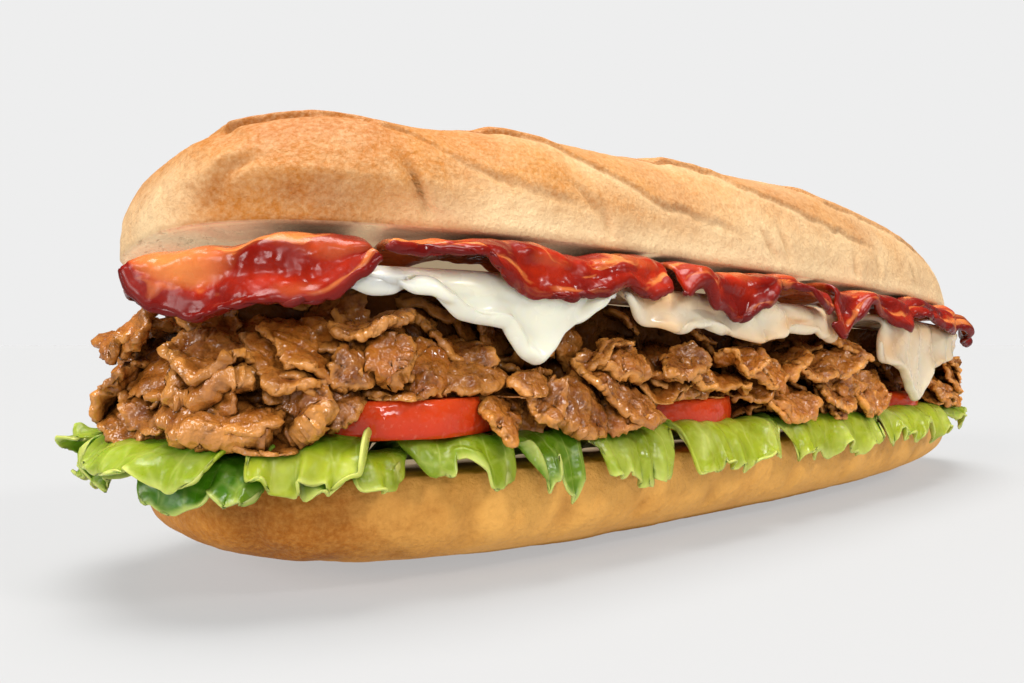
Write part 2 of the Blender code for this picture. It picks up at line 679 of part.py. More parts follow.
def apply_boolean(obj, operation, others, solver):
    """Applies one Boolean with a whole collection and removes its objects."""
    boolean = obj.modifiers.new(operation.title(), "BOOLEAN")
    boolean.operation = operation
    boolean.operand_type = "COLLECTION"
    boolean.collection = others
    boolean.solver = solver
    bpy.context.view_layer.update()
    evaluated = obj.evaluated_get(bpy.context.evaluated_depsgraph_get())
    mesh = bpy.data.meshes.new_from_object(evaluated)
    obj.modifiers.clear()
    obj.data = mesh
    for other in list(others.objects):
        bpy.data.objects.remove(other, do_unlink=True)
    bpy.data.collections.remove(others)


def new_collection(name):
    collection = bpy.data.collections.new(name)
    bpy.context.scene.collection.children.link(collection)
    return collection


def move_to(obj, collection):
    bpy.context.scene.collection.objects.unlink(obj)
    collection.objects.link(obj)


def keep_largest_island(obj):
    bm = bmesh.new()
    bm.from_mesh(obj.data)
    unseen, islands = set(bm.verts), []
    while unseen:
        island, front = set(), [unseen.pop()]
        while front:
            vert = front.pop()
            island.add(vert)
            for edge in vert.link_edges:
                other = edge.other_vert(vert)
                if other in unseen:
                    unseen.remove(other)
                    front.append(other)
        islands.append(island)
    islands.sort(key=len)
    for island in islands[:-1]:
        bmesh.ops.delete(bm, geom=list(island), context="VERTS")
    bm.to_mesh(obj.data)
    bm.free()


def main():
    clear_scene()
    materials = {name: make_material(name) for name in COLOURS}
    make_base(materials["crust"])
    for row in LEAVES:
        make_leaf(row, materials["lettuce"])
    for row in TOMATOES:
        add_tomato(row, "tomato_" + row[0], materials["tomato"])
    make_meat(materials["meat"])
    for row in CHEESES:
        make_cheese(row, materials["cheese"])
    for row in RASHERS:
        make_rasher(row, materials["bacon"])
    make_crown(materials["crust"])


main()
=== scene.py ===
import math
import random

import bmesh
import bpy
from mathutils import Euler, Matrix, Vector, noise


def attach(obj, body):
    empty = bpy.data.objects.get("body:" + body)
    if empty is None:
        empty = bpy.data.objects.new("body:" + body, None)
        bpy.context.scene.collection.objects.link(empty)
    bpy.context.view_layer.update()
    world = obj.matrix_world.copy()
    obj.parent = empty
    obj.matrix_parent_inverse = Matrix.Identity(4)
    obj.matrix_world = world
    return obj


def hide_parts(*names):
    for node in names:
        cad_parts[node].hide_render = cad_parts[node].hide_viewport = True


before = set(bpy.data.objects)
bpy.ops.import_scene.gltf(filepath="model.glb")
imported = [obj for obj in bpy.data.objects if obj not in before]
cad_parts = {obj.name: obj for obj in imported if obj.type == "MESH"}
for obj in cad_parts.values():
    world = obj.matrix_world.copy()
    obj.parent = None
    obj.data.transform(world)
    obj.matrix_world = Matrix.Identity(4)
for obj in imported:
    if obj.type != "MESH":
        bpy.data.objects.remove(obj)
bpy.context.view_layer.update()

# A filled submarine sandwich. Lengths are in metres: +X runs along the roll, -Y is the open front.
mm = 0.001

roll = {
    "length": 280 * mm,
    "width": 80 * mm,
    "planPower": 3.05,  # the superellipse seen from above
    "crownHeight": 29.4 * mm,
    "crownPower": 2.8,
    "crownMiddleZ": 56.3 * mm,  # the crown's cut face over the roll's middle
    "noseDown": math.radians(2.3),
    "gape": math.radians(7.9),  # the crown lies open towards the front
    "bulge": 0.15,
    "bulgeX": 42 * mm,
    "bulgeWidth": 66 * mm,
    "baseLength": 273.5 * mm,
    "baseWidth": 79 * mm,
    "baseShiftX": 1.5 * mm,
    "baseHeight": 19.8 * mm,
    "baseSlope": -0.012,
    "basePower": 3.0,
    "basePowerEnds": 3.9,
    "flatCut": 0.6 * mm,
}


def smoothstep(low, high, value):
    t = min(1.0, max(0.0, (value - low) / (high - low)))
    return t * t * (3 - 2 * t)


def wobble(x, y, z, seed=0.0):
    return noise.noise(Vector((x + 13.7 * seed, y - 7.1 * seed, z + 3.3 * seed)))


def interpolate(x, xs, ys):
    if x <= xs[0]:
        return ys[0]
    for i in range(1, len(xs)):
        if x <= xs[i]:
            return ys[i - 1] + (ys[i] - ys[i - 1]) * (x - xs[i - 1]) / (xs[i] - xs[i - 1])
    return ys[-1]


def signedPower(value, power):
    return math.copysign(abs(value) ** power, value)


def spinePoint(x):
    reach = (roll["length"] - roll["width"]) / 2
    return Vector((min(reach, max(-reach, x)), 0, 0))


def makeEdgeTable():
    # the roll's outline seen from above, at even steps from the middle of the front, +X first
    count, fine = 1600, 24000
    power = 2 / roll["planPower"]
    points, lengths = [], [0.0]
    for i in range(fine + 1):
        angle = -math.pi / 2 + 2 * math.pi * i / fine
        x = roll["length"] / 2 * signedPower(math.cos(angle), power)
        y = roll["width"] / 2 * signedPower(math.sin(angle), power)
        points.append(Vector((x, y, 0)))
        if i:
            lengths.append(lengths[-1] + (points[i] - points[i - 1]).length)
    table, j = [], 0
    for i in range(count + 1):
        target = lengths[-1] * i / count
        while j < fine - 1 and lengths[j + 1] < target:
            j += 1
        share = (target - lengths[j]) / max(1e-12, lengths[j + 1] - lengths[j])
        point = points[j].lerp(points[j + 1], share)
        table.append((point, (point - spinePoint(point.x)).normalized()))
    return table, lengths[-1]


edgeTable, perimeter = makeEdgeTable()


def edgeAt(along):
    place = (along % perimeter) / perimeter * (len(edgeTable) - 1)
    first = min(int(place), len(edgeTable) - 2)
    share = place - first
    point = edgeTable[first][0].lerp(edgeTable[first + 1][0], share)
    return point, edgeTable[first][1].lerp(edgeTable[first + 1][1], share).normalized()


def edgePlace(along, offset, height):
    point, outward = edgeAt(along)
    return Vector((point.x + outward.x * offset, point.y + outward.y * offset, height))


def crownFace(x, y):
    return roll["crownMiddleZ"] - x * math.tan(roll["noseDown"]) - y * math.tan(roll["gape"])


def baseFace(x):
    return roll["baseHeight"] + roll["baseSlope"] * x


def edgeOffset(x, y):
    xShare, yShare = abs(2 * x / roll["length"]), abs(2 * y / roll["width"])
    share = (xShare ** roll["planPower"] + yShare ** roll["planPower"]) ** (1 / roll["planPower"])
    if share < 1e-6:
        return -roll["width"] / 2
    return (1 - 1 / share) * (Vector((x, y, 0)) - spinePoint(x)).length


def loafPoint(s, t, length, width, height, power):
    ring = max(abs(s), abs(t))
    if ring < 1e-6:
        return Vector((0, 0, height))
    across, along = t / ring, s / ring
    n = roll["planPower"]
    corner = 0.5 ** (1 / n)
    if abs(across) >= abs(along):
        x = corner * along
        y = math.copysign((1 - abs(x) ** n) ** (1 / n), across)
    else:
        y = corner * across
        x = math.copysign((1 - abs(y) ** n) ** (1 / n), along)
    turn = ring * math.pi / 2
    shrink = math.sin(turn) ** (2 / power)
    rise = max(0.0, math.cos(turn)) ** (2 / power)
    return Vector((x * shrink * length / 2, y * shrink * width / 2, rise * height))


def pathPoint(path, v):
    place = v * (len(path) - 1)
    first = min(int(place), len(path) - 2)
    share = place - first
    (o0, z0), (o1, z1) = path[first], path[first + 1]
    return o0 + (o1 - o0) * share, z0 + (z1 - z0) * share


def smoothPath(points, rounds=3):
    # cuts a path's corners, so that a sheet bends instead of folding
    for _ in range(rounds):
        cut = [points[0]]
        for (a, b), (c, d) in zip(points, points[1:]):
            cut.append((0.75 * a + 0.25 * c, 0.75 * b + 0.25 * d))
            cut.append((0.25 * a + 0.75 * c, 0.25 * b + 0.75 * d))
        cut.append(points[-1])
        points = cut
    return points


def addPiece(name, bm, material, nodes):
    bmesh.ops.recalc_face_normals(bm, faces=bm.faces)
    mesh = bpy.data.meshes.new(name)
    bm.to_mesh(mesh)
    bm.free()
    mesh.shade_smooth()
    mesh.materials.append(material)
    piece = bpy.data.objects.new(name, mesh)
    bpy.context.scene.collection.objects.link(piece)
    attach(piece, "root")
    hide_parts(*nodes)
    return piece


def joinInto(target, bm):
    # copies one bmesh into another by way of a mesh
    mesh = bpy.data.meshes.new("part")
    bm.to_mesh(mesh)
    bm.free()
    target.from_mesh(mesh)
    bpy.data.meshes.remove(mesh)


def thickenSheet(bm, thickness, rimShare=0.45):
    # gives an open sheet its thickness along its own normals, thinner and rounder towards the rim
    share = bm.verts.layers.float.new("share")
    for vert in bm.verts:
        vert[share] = 1.0
    rim = {vert for vert in bm.verts if vert.is_boundary}
    second = {edge.other_vert(vert) for vert in rim for edge in vert.link_edges} - rim
    for vert in second:
        vert[share] = 0.5 + 0.5 * rimShare
    for vert in rim:
        vert[share] = rimShare
    bmesh.ops.extrude_face_region(bm, geom=bm.faces[:])
    bm.normal_update()
    moves = [vert.normal * thickness / 2 * vert[share] for vert in bm.verts]
    for vert, move in zip(bm.verts, moves):
        vert.co += move
    bm.verts.layers.float.remove(share)


def smoothAll(bm, rounds, factor=0.5):
    for _ in range(rounds):
        everyAxis = {"use_axis_x": True, "use_axis_y": True, "use_axis_z": True}
        bmesh.ops.smooth_vert(bm, verts=bm.verts, factor=factor, **everyAxis)


def swellHem(bm, layer, amount):
    # the hanging edge gathers into a thicker bead
    bm.normal_update()
    moves = [vert.normal * amount * smoothstep(0.80, 0.95, vert[layer][0]) for vert in bm.verts]
    for vert, move in zip(bm.verts, moves):
        vert.co += move


def hemHeight(hem, along):
    # a hanging edge's height from its (along, height) points, eased between them
    for (a, low), (b, high) in zip(hem, hem[1:]):
        if along <= b * mm:
            return (low + (high - low) * smoothstep(a * mm, b * mm, along)) * mm
    return hem[-1][1] * mm


def toneLayer(bm):
    return bm.verts.layers.float_color.new("tone")


def addNode(tree, kind, values=None, **settings):
    node = tree.nodes.new(kind)
    for key, value in settings.items():
        setattr(node, key, value)
    for key, value in (values or {}).items():
        if isinstance(value, bpy.types.NodeSocket):
            tree.links.new(value, node.inputs[key])
        else:
            node.inputs[key].default_value = value
    return node


def noiseMask(tree, coords, scale, detail=3.0, rough=0.5, distort=0.0):
    values = {"Vector": coords, "Scale": scale, "Detail": detail, "Roughness": rough, "Distortion": distort}
    return addNode(tree, "ShaderNodeTexNoise", values).outputs["Fac"]


def ramp(tree, value, low, high, toLow=0.0, toHigh=1.0):
    values = {"Value": value, "From Min": low, "From Max": high, "To Min": toLow, "To Max": toHigh}
    return addNode(tree, "ShaderNodeMapRange", values, clamp=True).outputs["Result"]


def mixColour(tree, factor, first, second, blend="MIX"):
    node = addNode(tree, "ShaderNodeMix", data_type="RGBA", blend_type=blend)
    for socket, value in ((node.inputs[0], factor), (node.inputs[6], first), (node.inputs[7], second)):
        if isinstance(value, bpy.types.NodeSocket):
            tree.links.new(value, socket)
        elif isinstance(value, tuple):
            socket.default_value = (*value, 1.0)
        else:
            socket.default_value = value
    return node.outputs[2]


def combine(tree, operation, first, second):
    node = addNode(tree, "ShaderNodeMath", operation=operation)
    for socket, value in ((node.inputs[0], first), (node.inputs[1], second)):
        if isinstance(value, bpy.types.NodeSocket):
            tree.links.new(value, socket)
        else:
            socket.default_value = value
    return node.outputs[0]


def times(tree, first, second):
    return combine(tree, "MULTIPLY", first, second)


def gapMask(tree, reach):
    # 1 in the open, and less where another surface stands closer than the reach
    return addNode(tree, "ShaderNodeAmbientOcclusion", {"Distance": reach}, samples=6).outputs["AO"]


def newGroup(name, inputs, outputs):
    group = bpy.data.node_groups.new(name, "ShaderNodeTree")
    for label, kind, default in inputs:
        socket = group.interface.new_socket(label, in_out="INPUT", socket_type=kind)
        if default is not None:
            socket.default_value = default
    for label, kind in outputs:
        group.interface.new_socket(label, in_out="OUTPUT", socket_type=kind)
    return group, group.nodes.new("NodeGroupInput").outputs, group.nodes.new("NodeGroupOutput").inputs


def makeMottleGroup():
    # patches of a second colour over a first, and a mask of fine specks
    inputs = [
        ("Vector", "NodeSocketVector", None),
        ("First", "NodeSocketColor", (1, 1, 1, 1)),
        ("Second", "NodeSocketColor", (0, 0, 0, 1)),
        ("Patch Scale", "NodeSocketFloat", 40.0),
        ("Speck Scale", "NodeSocketFloat", 900.0),
    ]
    outputs = [("Color", "NodeSocketColor"), ("Speck", "NodeSocketFloat")]
    group, given, out = newGroup("mottle", inputs, outputs)
    patch = ramp(group, noiseMask(group, given["Vector"], given["Patch Scale"], 4, 0.55), 0.35, 0.65)
    speck = ramp(group, noiseMask(group, given["Vector"], given["Speck Scale"], 2, 0.6), 0.35, 0.7)
    group.links.new(mixColour(group, patch, given["First"], given["Second"]), out["Color"])
    group.links.new(speck, out["Speck"])
    return group


def makeMoistGroup():
    # a wet surface: uneven gloss, and a bumpy normal from two sizes of noise
    inputs = [
        ("Vector", "NodeSocketVector", None),
        ("Bump Scale", "NodeSocketFloat", 300.0),
        ("Bump Height", "NodeSocketFloat", 0.0003),
        ("Dry", "NodeSocketFloat", 0.6),
        ("Wet", "NodeSocketFloat", 0.2),
    ]
    outputs = [("Roughness", "NodeSocketFloat"), ("Normal", "NodeSocketVector")]
    group, given, out = newGroup("moist", inputs, outputs)
    gloss = ramp(group, noiseMask(group, given["Vector"], 160.0, 3, 0.6), 0.38, 0.62)
    spread = combine(group, "SUBTRACT", given["Wet"], given["Dry"])
    rough = combine(group, "ADD", times(group, gloss, spread), given["Dry"])
    fine = noiseMask(group, given["Vector"], given["Bump Scale"], 2, 0.45)
    values = {"Height": fine, "Distance": given["Bump Height"], "Strength": 1.0}
    bump = addNode(group, "ShaderNodeBump", values)
    group.links.new(rough, out["Roughness"])
    group.links.new(bump.outputs["Normal"], out["Normal"])
    return group


groups = {"mottle": makeMottleGroup(), "moist": makeMoistGroup()}


def placeGroup(tree, name, values):
    node = tree.nodes.new("ShaderNodeGroup")
    node.node_tree = groups[name]
    for key, value in values.items():
        if isinstance(value, bpy.types.NodeSocket):
            tree.links.new(value, node.inputs[key])
        else:
            node.inputs[key].default_value = (*value, 1.0) if isinstance(value, tuple) else value
    return node.outputs


def placeMottle(tree, coords, first, second, patchScale, speckScale):
    sizes = {"Patch Scale": patchScale, "Speck Scale": speckScale}
    return placeGroup(tree, "mottle", {"Vector": coords, "First": first, "Second": second, **sizes})


def placeMoist(tree, shader, coords, finish):
    # a finish is the bump's scale and height, then the roughness of the dry and of the wet spots
    names = ("Bump Scale", "Bump Height", "Dry", "Wet")
    moist = placeGroup(tree, "moist", {"Vector": coords, **dict(zip(names, finish))})
    tree.links.new(moist["Roughness"], shader.inputs["Roughness"])
    tree.links.new(moist["Normal"], shader.inputs["Normal"])


def letLightIn(shader, share, depths):
    # the light travels this deep in red, green and blue
    shader.inputs["Subsurface Weight"].default_value = share
    shader.inputs["Subsurface Radius"].default_value = depths
    shader.inputs["Subsurface Scale"].default_value = 1.0


def darker(colour, share):
    return tuple(channel * share for channel in colour)


def newMaterial(name):
    material = bpy.data.materials.new(name)
    material.use_nodes = True
    tree = material.node_tree
    coords = addNode(tree, "ShaderNodeTexCoord").outputs["Object"]
    tone = addNode(tree, "ShaderNodeAttribute", attribute_name="tone")
    parts = addNode(tree, "ShaderNodeSeparateColor", {"Color": tone.outputs["Color"]}).outputs
    return material, tree, tree.nodes["Principled BSDF"], coords, parts, tone.outputs["Alpha"]


bread = {
    "golden": (0.58, 0.222, 0.034),
    "brown": (0.45, 0.145, 0.017),
    "pale": (0.90, 0.65, 0.36),
    # the torn crust's own brown at a score's lip, also used as painted shade in the crack under it and in the
    # creases
    "lip": (0.33, 0.105, 0.017),
    "under": (0.68, 0.245, 0.022),
    "underDark": (0.40, 0.120, 0.008),
    "underPale": (0.95, 0.48, 0.11),
    "crumb": (0.94, 0.74, 0.46),
    "crumbPaintedGlow": 0.36,  # painted light: the open crumb glows, standing in for the bounce light that brightens it under the crown's rim
    "shade": (0.20, 0.070, 0.012),  # the crust in the narrow gaps under the filling
    "gapReach": 5 * mm,
    "crownSegments": (400, 196),
    "baseSegments": (300, 130),
    # where the torn crust of each score begins to stand up, and how high it stands
    "earStarts": (-128.5 * mm, -80.5 * mm, -30 * mm, 28 * mm, 60 * mm),
    "earHeights": (2.0 * mm, 1.9 * mm, 2.0 * mm, 0.9 * mm, 0.8 * mm),
    "earWidth": 14 * mm,
    # how much of that height the crust below it has, and how far that reaches
    "underShare": 0.62,
    "underWidth": 9 * mm,
    "crownGirth": 57 * mm,  # from the middle of the top round to the rim
    "baseGirth": 45 * mm,
    "slant": 0.75,
    # how deep and how wide the creases are
    "crownCreasing": (1.4, 1.1 * mm),
    "baseCreasing": (1.3, 2.3 * mm),
    # the crust turns to crumb over this many rings of the cut face
    "crownCrust": 2,
    "baseCrust": 10,
    "lumps": (0.7 * mm, 0.6 * mm),  # on the crown and on the base
    "grain": (0.16 * mm, 0.15 * mm),
    "grainScale": 420,
    # a score: its brown lip, the crack under it, and the crust it marks above and the pale cut below
    "lipWidth": 0.7 * mm,
    "lipCurl": 0.25 * mm,
    "crackDepth": 0.55 * mm,
    "crackWidth": 0.6 * mm,
    "aboveWidth": 14 * mm,
    "belowWidth": 11 * mm,
    # rings that run in from the rim of a cut face, and how far they stand off it, in mm
    "cutInsets": (0.3, 0.7, 1.0, 1.5, 2, 2, 2.5, 2.5, 3, 3),
    "cutSteps": (0.25, 0.35, 0.3, 0.1, 0, 0, 0, 0, 0, 0),
    "endSwell": 3.0 * mm,  # the crown is this much fuller near its left end
}

# each score runs across the crown as (x in mm, share of the way from the top to the rim, front negative)
scores = (
    ((-129, -0.40), (-121, -0.47), (-112, -0.51), (-101, -0.66), (-92, -0.80), (-78, -0.87), (-56, -0.93)),
    (
        (-118, 0.45), (-92, -0.20), (-82, -0.47), (-68, -0.54),
        (-63, -0.65), (-50, -0.77), (-39, -0.85), (-8, -0.92),
    ),
    (
        (-72, 0.48), (-42, -0.20), (-31, -0.42), (-14, -0.50),
        (-7, -0.61), (6, -0.69), (20, -0.76), (60, -0.86),
    ),
    ((-30, 0.50), (24, -0.32), (36, -0.56), (60, -0.62), (88, -0.72), (114, -0.82)),
    ((44, 0.66), (70, 0.30), (98, -0.05), (120, -0.35)),
)

# short creases as (x in mm, share to the rim, length in mm, lean, depth in mm)
creases = (
    (-130, -0.64, 7, 0.9, 0.9),
    (-133, -0.63, 6, 0.9, 0.7),
    (-122.5, -0.85, 7, 0.6, 0.6),
    (-102.5, -0.91, 10, 0.25, 1.3),
    (-64, -0.88, 8, 0.7, 0.8),
    (-60, -0.95, 8, 0.2, 0.6),
    (-3, -0.93, 8, 0.7, 0.7),
    (4, -0.91, 8, 0.4, 0.7),
    (39.5, -0.97, 6, 0.2, 0.6),
    (53.5, -0.94, 6, 0.1, 0.6),
    (80, -0.93, 8, 0.4, 0.6),
    (-90, 0.85, 10, 0.2, 0.8),
    (-30, 0.90, 9, 0.4, 0.7),
    (25, 0.85, 10, -0.3, 0.7),
    (80, 0.88, 9, 0.3, 0.8),
)

baseCreases = (
    (-92.5, -0.82, 15, 0.10, 1.0),
    (-89.5, -0.74, 9, -0.15, 0.5),
    (-70, -0.84, 13, 0.12, 1.1),
    (-67.5, -0.78, 8, 0.25, 0.5),
    (-127, -0.58, 13, -0.35, 1.0),
    (-122, -0.52, 11, 0.10, 0.8),
    (-114, -0.50, 10, -0.20, 0.8),
    (-103, -0.62, 10, -0.20, 0.6),
    (-48, -0.78, 11, 0.20, 0.7),
    (-24, -0.72, 9, -0.10, 0.6),
    (8, -0.80, 10, 0.15, 0.7),
    (35, -0.75, 10, -0.20, 0.6),
    (82, -0.78, 10, 0.10, 0.7),
    (-60, 0.80, 11, 0.10, 0.8),
    (30, 0.78, 12, -0.15, 0.8),
    (95, 0.76, 9, 0.20, 0.7),
)


def scoreRelief(x, t):
    # how far the crust stands out, then three masks: a score's brown lip with painted shade in the
    # crack under it, the crust above it and the paler cut below it
    nearEnd = smoothstep(-140 * mm, -130 * mm, x) * (1 - smoothstep(-118 * mm, -88 * mm, x))
    relief = bread["endSwell"] * nearEnd
    lipAndShadeMask, above, below = 0.0, 0.0, 0.0
    ragged = 0.9 * mm * wobble(x / (5 * mm), t * 6, 0, 2) + 0.4 * mm * wobble(x / (1.8 * mm), t * 18, 0, 3)
    patchy = 0.9 * wobble(x / (7 * mm), t * 5, 0, 6)
    for line, start, height in zip(scores, bread["earStarts"], bread["earHeights"]):
        xs = [point[0] * mm for point in line]
        if not xs[0] < x < xs[-1]:
            continue
        middle = interpolate(x, xs, [point[1] for point in line])
        across = (t - middle) * bread["crownGirth"] * bread["slant"] + ragged
        ends = smoothstep(xs[0], xs[0] + 4 * mm, x) * (1 - smoothstep(xs[-1] - 25 * mm, xs[-1], x))
        # the torn crust stands up at the front's shoulder, and is hardly more than a line on top and low down
        lifted = 0.12 + 0.88 * smoothstep(start, start + 3 * mm, x)
        lifted *= 0.25 + 0.75 * smoothstep(-0.85, -0.5, middle)
        broken = patchy + 0.6 + 0.75 * math.exp(-((x - start) / (13 * mm)) ** 2)
        if across >= 0:
            lip = bread["underShare"] + (1 - bread["underShare"]) * smoothstep(0, 0.9 * mm, across)
            curl = bread["lipCurl"] * math.exp(-((across - 1.3 * mm) / (1.0 * mm)) ** 2)
            relief += ends * (height * lifted * math.exp(-across / bread["earWidth"]) * lip + curl)
            lipAndShadeMask = max(lipAndShadeMask, ends * broken * math.exp(-(across / bread["lipWidth"]) ** 2))
            above = max(above, ends * math.exp(-across / bread["aboveWidth"]) * smoothstep(0, mm, across))
        else:
            # the opened cut swells up to the torn edge, with a crack along it
            relief += ends * height * lifted * bread["underShare"] * math.exp(across / bread["underWidth"])
            crack = math.exp(-((across + 0.5 * mm) / bread["crackWidth"]) ** 2)
            relief -= bread["crackDepth"] * ends * broken * crack
            # painted shade: the crack under the torn edge is darkened with the lip's brown
            lipAndShadeMask = max(lipAndShadeMask, ends * broken * math.exp(-(across / (0.5 * mm)) ** 2))
            below = max(below, ends * math.exp(across / bread["belowWidth"]))
    return relief, lipAndShadeMask, above, below


def creaseRelief(x, t, girth, rows, creasing):
    share, breadth = creasing
    depth = 0.0
    for cx, ct, length, lean, deep in rows:
        dx, dt = x - cx * mm, (t - ct) * girth
        if abs(dx) > 14 * mm or abs(dt) > 14 * mm:
            continue
        long = dt * math.cos(lean) - dx * math.sin(lean)
        wide = dt * math.sin(lean) + dx * math.cos(lean)
        spread = math.exp(-(2 * long / (length * mm)) ** 2)
        # a dent, with the crust pushed up beside it
        dent = math.exp(-(wide / breadth) ** 2)
        dent -= 0.4 * math.exp(-((wide - 2.4 * breadth) / (2 * breadth)) ** 2)
        depth += deep * mm * spread * dent
    return share * depth


def closeCutFace(bm, layer, up, crust):
    # rounds the rim, then runs in over the crumb in rings and closes the middle
    edges = [edge for edge in bm.edges if edge.is_boundary]
    for step, (inset, drop) in enumerate(zip(bread["cutInsets"], bread["cutSteps"])):
        made = bmesh.ops.extrude_edge_only(bm, edges=edges)["geom"]
        edges = [item for item in made if isinstance(item, bmesh.types.BMEdge) and item.is_boundary]
        for vert in {vert for edge in edges for vert in edge.verts}:
            flat = Vector((vert.co.x, vert.co.y, 0))
            vert.co -= (flat - spinePoint(flat.x)).normalized() * inset * mm
            grain = 0.35 * mm * wobble(vert.co.x * 300, vert.co.y * 300, step, 5) if step > 2 else 0
            vert.co.z = up * (drop * mm + grain) + vert[layer][3]
            crumb = min(1.0, (step + 1) / crust) ** (crust - 1)
            vert[layer] = (vert[layer][0], vert[layer][1], crumb, vert[layer][3])
    bmesh.ops.contextual_create(bm, geom=edges)


def makeCrown(material):
    bm = bmesh.new()
    layer = toneLayer(bm)
    cutLayer = bm.verts.layers.float.new("cut")
    columns, rows = bread["crownSegments"]
    bmesh.ops.create_grid(bm, x_segments=columns, y_segments=rows, size=1)
    for vert in bm.verts:
        s, t = vert.co.x, vert.co.y
        ring = max(abs(s), abs(t))
        spot = loafPoint(s, t, roll["length"], roll["width"], roll["crownHeight"], roll["crownPower"])
        spot.z *= 1 + roll["bulge"] * math.exp(-((spot.x - roll["bulgeX"]) / roll["bulgeWidth"]) ** 2)
        outward = Vector((0.3 * spot.x, spot.y, spot.z)).normalized()
        relief, lipAndShadeMask, above, below = scoreRelief(spot.x, t)
        inner = 1 - smoothstep(0.9, 1.0, ring)
        lumps = bread["lumps"][0] * wobble(spot.x * 45, spot.y * 45, spot.z * 45, 1)
        fine = spot * bread["grainScale"]
        grain = bread["grain"][0] * wobble(fine.x, fine.y, fine.z, 3)
        crease = creaseRelief(spot.x, t, bread["crownGirth"], creases, bread["crownCreasing"])
        crease *= 1 - smoothstep(0.97, 1.0, ring)
        spot += outward * ((relief + lumps) * inner + grain * (1 - smoothstep(0.97, 1.0, ring)) - crease)
        vert.co = spot
        # the lip's brown, with painted shade in the creases by their depth
        vert[layer] = (max(lipAndShadeMask, crease / (2.2 * mm)), above, 0.0, 0.0)
        vert[cutLayer] = below
    closeCutFace(bm, layer, -1, bread["crownCrust"])
    place = Euler((-roll["gape"], roll["noseDown"], 0)).to_matrix().to_4x4()
    bm.transform(Matrix.Translation((0, 0, roll["crownMiddleZ"])) @ place)
    return addPiece("crown_bread", bm, material, ["roll_crown"])


def makeBase(material):
    bm = bmesh.new()
    layer = toneLayer(bm)
    columns, rows = bread["baseSegments"]
    bmesh.ops.create_grid(bm, x_segments=columns, y_segments=rows, size=1)
    for vert in bm.verts:
        s, t = vert.co.x, vert.co.y
        ring = max(abs(s), abs(t))
        power = roll["basePower"] + (roll["basePowerEnds"] - roll["basePower"]) * s * s
        spot = loafPoint(s, t, roll["baseLength"], roll["baseWidth"], 1, power)
        spot.x += roll["baseShiftX"]
        top = baseFace(spot.x)
        height = max(0.0, top - spot.z * (top + roll["flatCut"]))
        outward = Vector((0.3 * spot.x, spot.y, height - top)).normalized()
        free = smoothstep(0, 2 * mm, height) * (1 - smoothstep(0.96, 1.0, ring))
        lumps = bread["lumps"][1] * wobble(spot.x * 60, spot.y * 60, height * 60, 7)
        fine = Vector((spot.x, spot.y, height)) * bread["grainScale"]
        grain = bread["grain"][1] * wobble(fine.x, fine.y, fine.z, 8)
        crease = creaseRelief(spot.x, t, bread["baseGirth"], baseCreases, bread["baseCreasing"])
        vert.co = Vector((spot.x, spot.y, height)) + outward * (lumps + grain - crease) * free
        vert.co.z = max(0.0, vert.co.z)
        # painted shade: the creases are darkened with the lip's brown, by their depth
        vert[layer] = (min(1.0, max(0.0, 0.55 * crease / mm)) * free, 0.0, 0.0, top)
    closeCutFace(bm, layer, 1, bread["baseCrust"])
    return addPiece("base_bread", bm, material, ["roll_base"])


